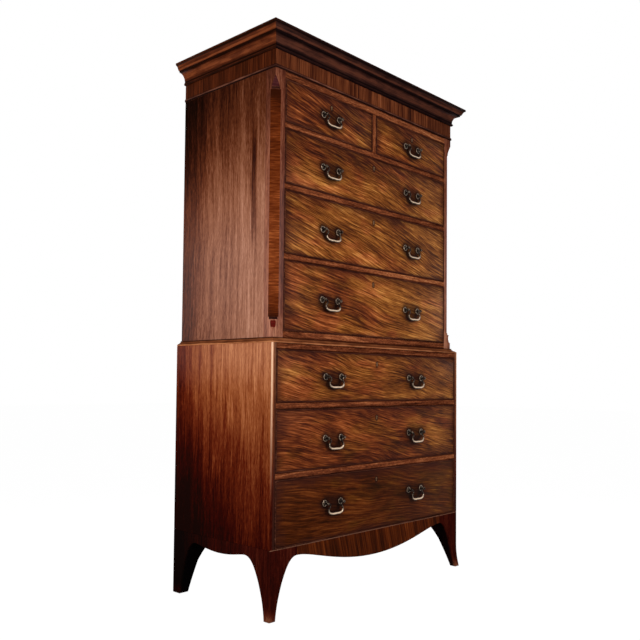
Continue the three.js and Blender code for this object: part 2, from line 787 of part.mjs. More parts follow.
for (const [side, sign] of sides) {
  const across = [sign * dividerThickness / 2, sign * postInnerHalf].sort((a, b) => a - b);
  addDrawer(`short_drawer_${side}`, shortOpening, across, upperFace, [sign * handleX], handleHeightShare);
}
const names = ['top', 'middle', 'bottom'];
upperOpenings.forEach((opening, i) => addDrawer(
  `upper_drawer_${names[i]}`, opening, [-postInnerHalf, postInnerHalf], upperFace,
  [-handleX, handleX], handleHeightShare));
lowerOpenings.forEach((opening, i) => addDrawer(
  `lower_drawer_${names[i]}`, opening, [-lowerInnerHalf, lowerInnerHalf], lowerFace,
  [-handleX, handleX], i + 1 < lowerOpenings.length ? handleHeightShare : lowestHandleHeightShare));

// The origin is on the floor, midway between the back and the front of the cornice.
root.position.y = (upperDepth + corniceProjection) / 2;

export default chest;
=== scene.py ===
import json
import math
from collections import namedtuple

import bmesh
import bpy
from mathutils import Matrix, Vector

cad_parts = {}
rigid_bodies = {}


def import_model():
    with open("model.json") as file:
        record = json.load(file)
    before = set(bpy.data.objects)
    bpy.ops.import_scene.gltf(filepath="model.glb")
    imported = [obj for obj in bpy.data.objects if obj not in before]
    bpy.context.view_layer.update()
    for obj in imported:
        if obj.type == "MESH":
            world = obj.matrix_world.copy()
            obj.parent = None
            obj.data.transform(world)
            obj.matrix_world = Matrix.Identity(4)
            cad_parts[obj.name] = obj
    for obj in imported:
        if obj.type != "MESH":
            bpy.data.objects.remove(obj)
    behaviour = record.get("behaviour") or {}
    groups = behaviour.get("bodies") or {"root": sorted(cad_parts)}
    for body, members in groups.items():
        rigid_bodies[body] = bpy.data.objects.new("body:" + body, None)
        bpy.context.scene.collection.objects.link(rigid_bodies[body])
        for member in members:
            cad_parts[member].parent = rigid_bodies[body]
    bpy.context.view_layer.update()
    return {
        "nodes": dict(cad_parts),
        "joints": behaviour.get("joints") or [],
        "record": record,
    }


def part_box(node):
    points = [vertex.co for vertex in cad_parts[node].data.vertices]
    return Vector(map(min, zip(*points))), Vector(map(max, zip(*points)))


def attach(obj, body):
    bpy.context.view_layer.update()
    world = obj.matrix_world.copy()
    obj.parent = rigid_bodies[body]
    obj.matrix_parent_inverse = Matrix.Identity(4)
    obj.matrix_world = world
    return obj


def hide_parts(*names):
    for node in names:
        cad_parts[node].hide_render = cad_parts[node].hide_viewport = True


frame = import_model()

# Chest on chest in mahogany. Metres, +Z up and -Y at the front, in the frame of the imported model.

MM = 0.001
SIDES = (("left", -1), ("right", 1))

# How far a cutter reaches past its piece, what counts as one point, as one plane in degrees, and as facing
# one way
OVERRUN = 5 * MM
SAME_POINT = 0.002 * MM
SAME_PLANE = 0.2
SQUARE_ON = 0.9

# Rounds of the edges
BOARD_EDGE = 0.6 * MM
LOWER_SIDE_EDGE = 0.9 * MM
UPPER_SIDE_EDGE = 0.5 * MM
POST_EDGE = 0.4 * MM
FRIEZE_EDGE = 0.3 * MM
BACK_EDGE = 0.4 * MM
FRONT_EDGE = 0.3 * MM
TRAY_EDGE = 0.5 * MM
BEAD_ROUND = 1.3 * MM
RIM_ROUND = 0.25 * MM
LOCK_ROUND = 1 * MM
FOOT_ROUND = 1.2 * MM
APRON_ROUND = 0.8 * MM
MOULDING_ROUND = 0.35 * MM

# Drawers
FRONT_GAP = 1.2 * MM
FRONT_INSET = 0.5 * MM
FRONT_THICKNESS = 20 * MM
BEAD_WIDTH = 3.4 * MM
BEAD_PROUD = 2.8 * MM
BEAD_DEPTH = 12 * MM
BOARD_INSET = 0.4 * MM
SHOW_DEPTH = 2 * MM
LINING = 9 * MM
TRAY_BOTTOM = 7 * MM
TRAY_BOTTOM_RAISE = 8 * MM
TAIL_LENGTH = 14 * MM
TAIL_PITCH = 58 * MM
PIN_WIDTH = 5 * MM
TAIL_SLOPE = 0.16
JOINT_GAP = 0.3 * MM

# Locks and keyholes
LOCK_WIDTH = 60 * MM
LOCK_HEIGHT = 46 * MM
LOCK_DEPTH = 9 * MM
LOCK_TOP_DROP = 6 * MM
KEYHOLE_DROP = 36 * MM
KEYHOLE_RADIUS = 2.6 * MM
KEY_SLOT_WIDTH = 2.4 * MM
KEY_SLOT_LENGTH = 8 * MM
KEYHOLE_RIM = 1.6 * MM
KEYHOLE_PROUD = 0.6 * MM
KEY_CUT_DEPTH = 12 * MM
LOCK_SUNK = 1 * MM

# Swan-neck handles
HANDLE_CENTRES = 80 * MM
PIVOT_PROUD = 15 * MM
ROSE_RADIUS = 11 * MM
ROSE_SUNK = 1 * MM
ROSE_EDGE = 0.7 * MM
ROSE_LIP = 1.8 * MM
ROSE_HOLLOW = 1.2 * MM
ROSE_DOME = 2.8 * MM
POST_COVE = 5.6 * MM
HEAD_RADIUS = 5.6 * MM
HEAD_TOP = 6.2 * MM
POST_RADIUS = 3 * MM
STEM_RADIUS = 2.2 * MM
SCREW_RADIUS = 2.4 * MM
SCREW_END = 5 * MM
NUT_RADIUS = 6 * MM
NUT_HEIGHT = 3 * MM
NUT_CHAMFER = 0.5 * MM
NUT_SLOPE = 0.4 * MM
NUT_GAP = 0.1 * MM
STEM_START = 1 * MM
BAIL_DROP = 36 * MM
BAIL_END_RADIUS = 1.9 * MM
BAIL_NECK_RADIUS = 2.4 * MM
BAIL_MIDDLE_RADIUS = 3.8 * MM
BAIL_SOCKET_DEPTH = 5 * MM
BAIL_END_SHARE = 0.06

# Base
FOOT_REACH = 121 * MM
FOOT_BLOCK = 82 * MM
FOOT_TIP = 18 * MM
ANKLE_HEIGHT = 112 * MM
ANKLE_WIDTH = 53 * MM
BACK_FOOT_TIP = 38 * MM
BACK_ANKLE_WIDTH = 62 * MM
SPLAY = 8 * MM
SPLAY_HEIGHT = 90 * MM
SPLAY_STEPS = 14
ARCH_COVER = 31 * MM
APRON_THICKNESS = 20 * MM
FRONT_APRON_DIP = 58 * MM
SIDE_APRON_DIP = 14 * MM

# Canted posts: how far the cant stops from each end, its quirk, and the height where it is lightest
CANT_START = 83 * MM
CANT_STOP = 67 * MM
QUIRK = 8 * MM
CANT_LIGHT = 1.22

# Where the camera stood, and how it was held
CAMERA_PLACE = (-2.1787, -1.9897, 0.7472)
CAMERA_YAW = math.radians(46.895)
CAMERA_PITCH = math.radians(2.245)
CAMERA_ROLL = math.radians(0.525)
CAMERA_LENS = 42.92
CAMERA_SHIFT = 0.051
CAMERA_SENSOR = 36
CAMERA_REACH = 100

# Each lamp: where it stands, where it points, its width and height, and its power in watts
LAMPS = {
    "left_light": ((-1.75, -0.35, 1.1), (-0.53, 0.0, 0.95), (0.7, 0.6), 13),
    "left_back_light": ((-1.75, 1.2, 1.12), (-0.53, 0.0, 0.98), (1.2, 1.0), 20),
    "right_light": ((1.75, 0.15, 1.1), (0.53, 0.05, 0.95), (0.7, 0.6), 13),
    "right_back_light": ((1.75, 1.2, 1.12), (0.53, 0.0, 0.98), (1.2, 1.0), 20),
    "front_light": ((-0.2, -2.0, 1.2), (0.0, -0.22, 1.1), (0.9, 0.9), 30),
    "back_light": ((0.0, 2.05, 1.1), (0.0, 0.25, 1.0), (0.9, 0.9), 26),
    "top_light": ((0.0, 0.0, 3.6), (0.0, 0.0, 1.9), (1.0, 0.8), 24),
}

# The stage: a matt grey floor that the camera sees white, and plain light from all round
FLOOR_SIZE = 40
FLOOR_GREY = (0.5, 0.5, 0.5, 1)
FLOOR_WHITE = 1.06
FLOOR_SHARE = 0.93
WHITE = (1, 1, 1, 1)
ROOM_LIGHT = 0.2

# What the frame says of the cases
case_low, case_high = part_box("lower_side_left")
LOWER_FACE = case_low.y
BASE_HEIGHT = case_low.z
LOWER_HALF = -case_low.x
BACK = case_high.y
LOWER_TOP = case_high.z
UPPER_HALF = -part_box("upper_side_left")[0].x
post_low, post_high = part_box("corner_post_left")
UPPER_FACE = post_low.y
CANT_BASE = post_low.z + CANT_START
CANT_TOP = post_high.z - CANT_STOP
ARCH_HEIGHT = BASE_HEIGHT - ARCH_COVER
HANDLE_X = abs(next(joint["pos_m"][0] for joint in frame["joints"] if joint["type"] == "hinge"))


# The camera and the lamps

def add_camera():
    bpy.ops.object.camera_add(location=CAMERA_PLACE)
    camera = bpy.context.object
    camera.name = "camera"
    ahead = Vector((
        math.sin(CAMERA_YAW) * math.cos(CAMERA_PITCH),
        math.cos(CAMERA_YAW) * math.cos(CAMERA_PITCH),
        math.sin(CAMERA_PITCH)))
    right = Vector((math.cos(CAMERA_YAW), -math.sin(CAMERA_YAW), 0))
    up = right.cross(ahead)
    rolled_right = right * math.cos(CAMERA_ROLL) + up * math.sin(CAMERA_ROLL)
    rolled_up = up * math.cos(CAMERA_ROLL) - right * math.sin(CAMERA_ROLL)
    turn = Matrix((rolled_right, rolled_up, -ahead)).transposed()
    camera.matrix_world = Matrix.Translation(CAMERA_PLACE) @ turn.to_4x4()
    camera.data.sensor_width = CAMERA_SENSOR
    camera.data.lens = CAMERA_LENS
    camera.data.shift_y = CAMERA_SHIFT
    camera.data.clip_end = CAMERA_REACH
    bpy.context.scene.camera = camera


def add_lamp(name, place, target, size, power):
    bpy.ops.object.light_add(type="AREA", location=place)
    lamp = bpy.context.object
    lamp.name = name
    lamp.rotation_euler = (Vector(target) - Vector(place)).to_track_quat("-Z", "Y").to_euler()
    lamp.data.shape = "RECTANGLE"
    lamp.data.size, lamp.data.size_y = size
    lamp.data.energy = power
    lamp.visible_camera = False


# Modelling

def only(piece):
    """Selects one piece and makes it the active one."""
    bpy.ops.object.select_all(action="DESELECT")
    piece.select_set(True)
    bpy.context.view_layer.objects.active = piece
    return piece


def start_edit(piece):
    only(piece)
    bpy.ops.object.mode_set(mode="EDIT")
    bpy.ops.mesh.select_all(action="SELECT")
    return bmesh.from_edit_mesh(piece.data)


def end_edit():
    bpy.ops.object.mode_set(mode="OBJECT")


def tidied(piece, outwards=True, flat=False):
    """Merges doubled points and, where asked, joins the faces in one plane and turns them all outwards."""
    start_edit(piece)
    bpy.ops.mesh.remove_doubles(threshold=SAME_POINT)
    if flat:
        bpy.ops.mesh.dissolve_limited(angle_limit=math.radians(SAME_PLANE))
    if outwards:
        bpy.ops.mesh.select_all(action="SELECT")
        bpy.ops.mesh.normals_make_consistent(inside=False)
    end_edit()
    return piece


def applied(piece, kind, **settings):
    """Adds a modifier with its settings and applies it."""
    only(piece)
    bpy.ops.object.modifier_add(type=kind)
    modifier = piece.modifiers[-1]
    for name, value in settings.items():
        setattr(modifier, name, value)
    bpy.ops.object.modifier_apply(modifier=modifier.name)
    return piece


def softened(piece, width, segments=2, angle=30):
    return applied(
        piece, "BEVEL", width=width, segments=segments, limit_method="ANGLE",
        angle_limit=math.radians(angle), use_clamp_overlap=True)


def settled(piece):
    """Puts a piece's place into its mesh."""
    only(piece)
    bpy.ops.object.transform_apply(location=True, rotation=True, scale=True)
    return piece


def box_piece(name, low, high, edge=BOARD_EDGE):
    """A planed board between two corners, with softened edges."""
    low, high = Vector(low), Vector(high)
    bpy.ops.mesh.primitive_cube_add(size=1, location=(low + high) / 2, scale=high - low)
    piece = bpy.context.object
    piece.name = name
    settled(piece)
    return softened(piece, edge)


class Outline(list):
    """The points of an outline, drawn with straight lines and curves."""

    def line(self, s, t):
        self.append((s, t))
        return self

    def curve(self, s1, t1, s2, t2, s3, t3, steps):
        """A curve to (s3, t3), drawn towards two points on its way."""
        s0, t0 = self[-1]
        for i in range(1, steps + 1):
            k = i / steps
            j = 1 - k
            shares = (j ** 3, 3 * j * j * k, 3 * j * k * k, k ** 3)
            self.append((
                sum(a * b for a, b in zip(shares, (s0, s1, s2, s3))),
                sum(a * b for a, b in zip(shares, (t0, t1, t2, t3)))))
        return self

    def arc(self, s, t, radius, start, end, steps):
        """An arc about (s, t), from one angle to another."""
        for i in range(steps + 1):
            angle = start + (end - start) * i / steps
            self.append((s + radius * math.cos(angle), t + radius * math.sin(angle)))
        return self


AXIS_TURNS = {
    "x": Matrix(((0, 0, 1), (1, 0, 0), (0, 1, 0))),
    "y": Matrix(((1, 0, 0), (0, 0, -1), (0, 1, 0))),
    "z": Matrix.Identity(3),
}


def cut_out(name, outlines, axis, near, far, edge=0.0):
    """A board sawn to outlines in the two other axes, between two places on its axis, with rounded edges."""
    bpy.ops.curve.primitive_bezier_curve_add(location=(0, 0, 0))
    piece = bpy.context.object
    piece.name = name
    curve = piece.data
    curve.dimensions = "2D"
    curve.fill_mode = "BOTH"
    curve.splines.clear()
    for outline in outlines:
        spline = curve.splines.new("POLY")
        spline.use_cyclic_u = True
        spline.points.add(len(outline) - 1)
        for point, (s, t) in zip(spline.points, outline):
            point.co = (s, t, 0, 1)
    curve.extrude = (far - near) / 2 - edge
    curve.bevel_depth = edge
    curve.bevel_resolution = 2
    curve.offset = -edge
    only(piece)
    bpy.ops.object.convert(target="MESH")
    piece = bpy.context.object
    middle = Vector([(near + far) / 2 if letter == axis else 0 for letter in "xyz"])
    piece.matrix_world = Matrix.Translation(middle) @ AXIS_TURNS[axis].to_4x4()
    settled(piece)
    return tidied(piece, flat=True)


def drawn_through(name, outline, stations):
    """A solid drawn from station to station. A station places each point of the outline."""
    bpy.ops.mesh.primitive_circle_add(vertices=len(outline), fill_type="NGON", location=(0, 0, 0))
    piece = bpy.context.object
    piece.name = name
    order = piece.data.attributes.new("order", "INT", "POINT")
    for i, entry in enumerate(order.data):
        entry.value = i
    start_edit(piece)
    for i, station in enumerate(stations):
        if i:
            bpy.ops.mesh.extrude_region_move()
        shape = bmesh.from_edit_mesh(piece.data)
        layer = shape.verts.layers.int["order"]
        for vertex in shape.verts:
            if vertex.select:
                vertex.co = station(*outline[vertex[layer]])
        bmesh.update_edit_mesh(piece.data)
    bpy.ops.mesh.select_all(action="SELECT")
    bpy.ops.mesh.normals_make_consistent(inside=False)
    end_edit()
    piece.data.attributes.remove(piece.data.attributes["order"])
    return piece


def turned(name, outline, steps=32):
    """A piece turned on the lathe about the -Y axis. The outline gives a radius and how far it stands out."""
    bpy.ops.mesh.primitive_circle_add(vertices=len(outline), fill_type="NOTHING", location=(0, 0, 0))
    piece = bpy.context.object
    piece.name = name
    for vertex, (radius, out) in zip(piece.data.vertices, outline):
        vertex.co = (radius, -out, 0)
    shape = start_edit(piece)
    bpy.ops.mesh.select_mode(type="EDGE")
    bpy.ops.mesh.select_all(action="DESELECT")
    for edge in shape.edges:
        edge.select_set(all(vertex.co.x < SAME_POINT / 2 for vertex in edge.verts))
    bpy.ops.mesh.delete(type="EDGE")
    bpy.ops.mesh.select_mode(type="VERT")
    bpy.ops.mesh.select_all(action="SELECT")
    bpy.ops.mesh.spin(steps=steps, angle=math.tau, center=(0, 0, 0), axis=(0, 1, 0))
    end_edit()
    return tidied(piece)


def copied(piece, name, shift, signs=(1, 1, 1)):
    """A copy with its own mesh, mirrored where a sign is -1, and moved."""
    copy = bpy.data.objects.new(name, piece.data.copy())
    bpy.context.scene.collection.objects.link(copy)
    copy.matrix_world = Matrix.Translation(shift) @ Matrix.Diagonal((*signs, 1))
    return settled(copy)


def joined(pieces):
    bpy.ops.object.select_all(action="DESELECT")
    for piece in pieces:
        piece.select_set(True)
    bpy.context.view_layer.objects.active = pieces[0]
    bpy.ops.object.join()
    return pieces[0]


def with_boolean(piece, tool, operation):
    applied(piece, "BOOLEAN", object=tool, operation=operation, solver="EXACT")
    bpy.data.objects.remove(tool)
    return piece


def finished(piece, body, material, nodes, smooth=35):
    """Gives a piece its shading, finish and body, and hides the nodes that it stands for."""
    only(piece)
    bpy.ops.object.shade_smooth_by_angle(angle=math.radians(smooth))
    if not piece.data.materials:
        piece.data.materials.append(material)
    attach(piece, body)
    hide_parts(*nodes)
    return piece


def dressed(node, material, edge=BOARD_EDGE, segments=2):
    """A merged copy of a node of the carcass with softened edges, that stands for it."""
    piece = bpy.data.objects.new(node + "_worked", frame["nodes"][node].data.copy())
    bpy.context.scene.collection.objects.link(piece)
    piece.data.materials.clear()
    tidied(piece, outwards=False, flat=True)
    softened(piece, edge, segments)
    return finished(piece, "carcass", material, [node])


# Materials

def screen(red, green, blue):
    """A colour given as on a screen, from 0 to 255, in linear light."""
    def linear(value):
        share = value / 255
        return share / 12.92 if share <= 0.04045 else ((share + 0.055) / 1.055) ** 2.4
    return (linear(red), linear(green), linear(blue), 1)


class Wire:
    """A socket of a shader, with sums written as in Python."""

    def __init__(self, socket):
        self.socket = socket

    def node(self, kind, settings, sockets, out=0):
        """Adds a node, with its settings first and then the values or links of its sockets, and gives the
        socket that comes out of it."""
        tree = self.socket.id_data
        made = tree.nodes.new(kind)
        for name, value in settings.items():
            if name == "stops":
                stops = made.color_ramp.elements
                while len(stops) < len(value):
                    stops.new(0.5)
                for stop, (place, colour) in zip(stops, value):
                    stop.position = place
                    stop.color = colour
            else:
                setattr(made, name, value)
        for name, value in sockets.items():
            if isinstance(value, Wire):
                tree.links.new(value.socket, made.inputs[name])
            else:
                made.inputs[name].default_value = value
        return Wire(made.outputs[out])

    def maths(self, operation, *others):
        return self.node(
            "ShaderNodeMath", {"operation": operation}, dict(enumerate((self, *others))))

    def __add__(self, other):
        return self.maths("ADD", other)

    def __sub__(self, other):
        return self.maths("SUBTRACT", other)

    def __rsub__(self, other):
        return (self * -1) + other

    def __mul__(self, other):
        return self.maths("MULTIPLY", other)

    __radd__ = __add__
    __rmul__ = __mul__

    def spread(self, low, high):
        """From 0 at low to 1 at high, with soft ends."""
        return self.node(
            "ShaderNodeMapRange", {"interpolation_type": "SMOOTHSTEP"}, {0: self, 1: low, 2: high})

    def ramp(self, *stops):
        return self.node("ShaderNodeValToRGB", {"stops": stops}, {0: self})

    def blended(self, other, share, blend="MIX"):
        return self.node(
            "ShaderNodeMix", {"data_type": "RGBA", "blend_type": blend}, {0: share, 6: self, 7: other}, 2)

    def parts(self):
        apart = self.node("ShaderNodeSeparateXYZ", {}, {0: self})
        return [Wire(socket) for socket in apart.socket.node.outputs]

    def noise(self, size, seed, detail=2.0, rough=0.5):
        """Soft noise from 0 to 1, with spots of the given size on each axis."""
        scale = [1 / length for length in size]
        placed = self.node(
            "ShaderNodeVectorMath", {"operation": "MULTIPLY_ADD"},
            {0: self, 1: scale, 2: (seed * 7.3, seed * 3.1, seed * 5.7)})
        return placed.node(
            "ShaderNodeTexNoise", {}, {"Vector": placed, "Scale": 1, "Detail": detail, "Roughness": rough})


def together(x, y, z):
    """A vector of three values, of which one at least is a wire."""
    first = next(part for part in (x, y, z) if isinstance(part, Wire))
    return first.node("ShaderNodeCombineXYZ", {}, {0: x, 1: y, 2: z})


def new_material(name):
    """An empty material, with the wire of a place on the object."""
    material = bpy.data.materials.new(name)
    material.use_nodes = True
    material.node_tree.nodes.clear()
    place = Wire(material.node_tree.nodes.new("ShaderNodeTexCoord").outputs["Object"])
    return material, place


def surface(material, colour, roughness, height, strength, depth, **constants):
    """Ends a material: colour and roughness over the surface, and bumps of a depth in millimetres."""
    bump = colour.node(
        "ShaderNodeBump", {}, {"Height": height, "Strength": strength, "Distance": depth * MM})
    sockets = {"Base Color": colour, "Roughness": roughness, "Normal": bump}
    sockets.update({name.replace("_", " "): value for name, value in constants.items()})
    shader = colour.node("ShaderNodeBsdfPrincipled", {}, sockets)
    output = material.node_tree.nodes.new("ShaderNodeOutputMaterial")
    material.node_tree.links.new(shader.socket, output.inputs["Surface"])
    return material


def woven(parts):
    """A weighted sum of noises about 0.5, given as pairs of a noise and its weight."""
    total = 0.5
    for pattern, weight in parts:
        total = (pattern - 0.5) * weight + total
    return total


def hypotenuse(first, second, more=0.0):
    return (first * first + second * second + more).maths("SQRT")


def grain_size(axis, length, width):
    """The size of a mark that is long on its axis and narrow on the two others."""
    return [length if letter == axis else width for letter in "xyz"]


def waxed(
        material, colour, roughness, height, coat, strength=0.15, depth=0.1, gloss=0.0, coat_roughness=0.35):
    """Ends a polished wood, whose shine is all in its coat of wax."""
    return surface(
        material, colour, roughness, height, strength, depth,
        Specular_IOR_Level=gloss, Coat_Weight=coat, Coat_Roughness=coat_roughness)


# The marks in a drawer front, by their sizes in metres along and across its grain
BROAD_BANDS = (0.26, 1, 0.085)
STREAKS = (0.20, 1, 0.0100)
COMB_LINES = (0.12, 1, 0.0046)
HAIR_LINES = (0.050, 1, 0.0026)
CRACKS = (0.10, 1, 0.0060)

# A golden hue that multiplies the colour of a front
GOLDEN = (0.98, 1.27, 0.92, 1)

# Dirt and painted shade of a front: at its edges, about the handles where hands also soil it, and close to
# the brass and the cockbead
EDGE_DIRT_AND_SHADE = screen(50, 23, 19)
EDGE_DIRT_AND_SHADE_SHARE = 0.62
HAND_DIRT_AND_SHADE = screen(30, 14, 11)
HAND_DIRT_AND_SHADE_SHARE = 0.80
HAND_WIDTH = 72 * MM
HAND_HEIGHT = 42 * MM
HAND_DROP = 10 * MM
BRASS_DIRT_AND_SHADE = screen(16, 8, 7)
BRASS_DIRT_AND_SHADE_SHARE = 0.76
BRASS_DIRT_AND_SHADE_REACH = 18 * MM
BAIL_RING = 33 * MM
BAIL_RING_DROP = 4 * MM
KEY_DIRT_REACH = 6 * MM
GROOVE_DIRT_AND_SHADE_REACH = 4.5 * MM
GROOVE_DIRT_AND_SHADE = 0.75


def front_marks(place, figure):
    """The tone of a figured front, with its two finest kinds of line."""
    x, _, z = place.parts()
    fall = math.radians(figure.fall)
    seed, contrast = figure.seed, figure.contrast
    wave = place.noise((0.55, 1, 0.24), seed + 4, 1) - 0.5
    ripple = place.noise((0.20, 1, 0.08), seed + 8, 1) - 0.5
    along = x * math.cos(fall) - z * math.sin(fall)
    across = z * math.cos(fall) + x * math.sin(fall) + (wave * 0.09 + ripple * 0.011) * figure.sway
    run = together(along, 0.0, across)
    comb = run.noise(COMB_LINES, seed + 2, 2, 0.45)
    hair = run.noise(HAIR_LINES, seed + 3, 2, 0.6)
    cracks = 1 - run.noise(CRACKS, seed + 7, 3, 0.6).spread(0.30, 0.43)
    tone = woven([
        (run.noise(BROAD_BANDS, seed, 2), 0.8 * contrast),
        (run.noise(STREAKS, seed + 1, 2, 0.55), 0.38 * contrast),
        (comb, 0.9 * contrast), (hair, 1.05 * contrast)])
    return tone - cracks * 0.18 * contrast - figure.dark, comb, hair


def front_margin(x, z, low, high, stain):
    """The darkened margin of a front, uneven along its four edges: dirt and painted shade."""
    left = (x - low.x + stain * 0.09).spread(-0.004, 0.060)
    right = (high.x - x + stain * 0.06).spread(-0.004, 0.036)
    top = (high.z - z + stain * 0.05).spread(-0.004, 0.042)
    base = (z - low.z + stain * 0.04).spread(-0.003, 0.020)
    return 1 - left * right * top * base


def front_dirt_and_shade(x, z, low, high, beside, rise):
    """Dirt and painted shade close round the roses, the bails and the keyhole, and in the groove beside the
    cockbead.
    """
    rose = hypotenuse(beside.maths("ABSOLUTE") - HANDLE_CENTRES / 2, rise) - ROSE_RADIUS
    bail = (hypotenuse(beside, rise + BAIL_RING_DROP) - BAIL_RING).maths("ABSOLUTE")
    bail = bail + rise.maths("MAXIMUM", 0.0)
    key_z = high.z + FRONT_GAP - KEYHOLE_DROP
    past_slot = (z - key_z).maths("MAXIMUM", 0.0) + (key_z - KEY_SLOT_LENGTH - z).maths("MAXIMUM", 0.0)
    key = hypotenuse(x - (low.x + high.x) / 2, past_slot) - KEYHOLE_RADIUS - KEYHOLE_RIM
    margin = (x - low.x).maths("MINIMUM", high.x - x)
    margin = margin.maths("MINIMUM", (z - low.z).maths("MINIMUM", high.z - z)) - BEAD_WIDTH
    # The grime here is dirt and painted shade together.
    grime = 1 - rose.maths("MINIMUM", bail).spread(0.0, BRASS_DIRT_AND_SHADE_REACH)
    grime = grime.maths("MAXIMUM", 1 - key.spread(KEY_DIRT_REACH / 4, KEY_DIRT_REACH))
    return grime.maths("MAXIMUM", (1 - margin.spread(0.0, GROOVE_DIRT_AND_SHADE_REACH)) * GROOVE_DIRT_AND_SHADE)


def figured_front(name, low, high, handle_height, figure):
    """Figured mahogany of a drawer front, between its corners, with dirt and painted shade at its edges and
    about its handles.
    """
    material, place = new_material(name)
    x, _, z = place.parts()
    tone, comb, hair = front_marks(place, figure)
    stain = place.noise((0.06, 1, 0.05), figure.seed + 5, 3) - 0.5
    beside = x.maths("ABSOLUTE") - HANDLE_X
    rise = z - handle_height
    edge = front_margin(x, z, low, high, stain)
    # The hand mask: dirt of hands with painted shade about the handles.
    hand = hypotenuse(beside * (1 / HAND_WIDTH), (rise + HAND_DROP) * (1 / HAND_HEIGHT), stain * 1.3)
    hand = 1 - hand.spread(0.35, 1.35)
    golden = place.noise((0.13, 1, 0.055), figure.seed + 6, 2) + x * 0.22 + figure.gold
    colour = tone.ramp(*figure.tones).blended(GOLDEN, golden.spread(0.36, 0.64), "MULTIPLY")
    # Darkened with dirt and painted shade at the edges, about the handles and close to the brass.
    colour = colour.blended(EDGE_DIRT_AND_SHADE, edge * EDGE_DIRT_AND_SHADE_SHARE).blended(HAND_DIRT_AND_SHADE, hand * HAND_DIRT_AND_SHADE_SHARE)
    colour = colour.blended(BRASS_DIRT_AND_SHADE, front_dirt_and_shade(x, z, low, high, beside, rise) * BRASS_DIRT_AND_SHADE_SHARE)
    roughness = 0.40 + (comb - 0.5) * 0.2 + hand * 0.12
    coat = (1 - edge) * (1 - hand) * z.spread(0.05, 0.75) * 0.06
    return waxed(
        material, colour, roughness, hair * 0.7 + comb * 0.3, coat, 0.2, 0.12,
        gloss=0.008, coat_roughness=0.34)


# How far down the painted highlight on the arris of the base reaches, and where it is full
ARRIS_WIDTH = 3.2 * MM
ARRIS_EDGE = 1.4 * MM


def painted_arris_highlight(colour, z, share=1.0):
    """A painted highlight along the top edge of the base, below the lowest drawer."""
    height = z.spread(BASE_HEIGHT - ARRIS_WIDTH, BASE_HEIGHT - ARRIS_EDGE)
    return colour.blended(screen(114, 76, 58), height * share)


def worn_and_highlit_corner(colour, x, y, z, lines, patches, share):
    """The worn front arris of the lower case, lightened further by a painted highlight, with a darker line
    behind it.
    """
    inwards = LOWER_HALF - x.maths("ABSOLUTE")
    worn_and_highlit = (inwards + y - LOWER_FACE + (lines - 0.5) * 0.003).spread(0.0065, 0.001)
    worn_and_highlit = worn_and_highlit * (z + (patches - 0.5) * 0.2).spread(0.35, 0.86)
    colour = colour.blended(screen(54, 30, 24), inwards.spread(0.004, 0.012) * 0.72)
    # A pale painted highlight along the worn arris.
    return colour.blended(screen(240, 196, 160), worn_and_highlit * share)


def painted_inner_shade(colour, x, y, z, share):
    """Near-black painted shade on the inner sides of the feet, behind their outer faces, which the front feet
    splay.
    """
    below = (1 - z * (1 / SPLAY_HEIGHT)).maths("MAXIMUM", 0.0)
    splay = below * below * y.spread(0.1, -0.1) * SPLAY
    behind = (y - LOWER_FACE).maths("MINIMUM", LOWER_HALF - x.maths("ABSOLUTE")) + splay
    return colour.blended(screen(6, 4, 5), behind.spread(0.003, 0.010) * share)


# The marks in straight mahogany, by their sizes along and across its grain, and the reach of its patches
WIDE_BAND = (1.4, 0.034)
BAND = (0.42, 0.0150)
LINE = (0.13, 0.0068)
PORE = (0.018, 0.0022)
PATCH = (0.3, 0.3, 0.42)


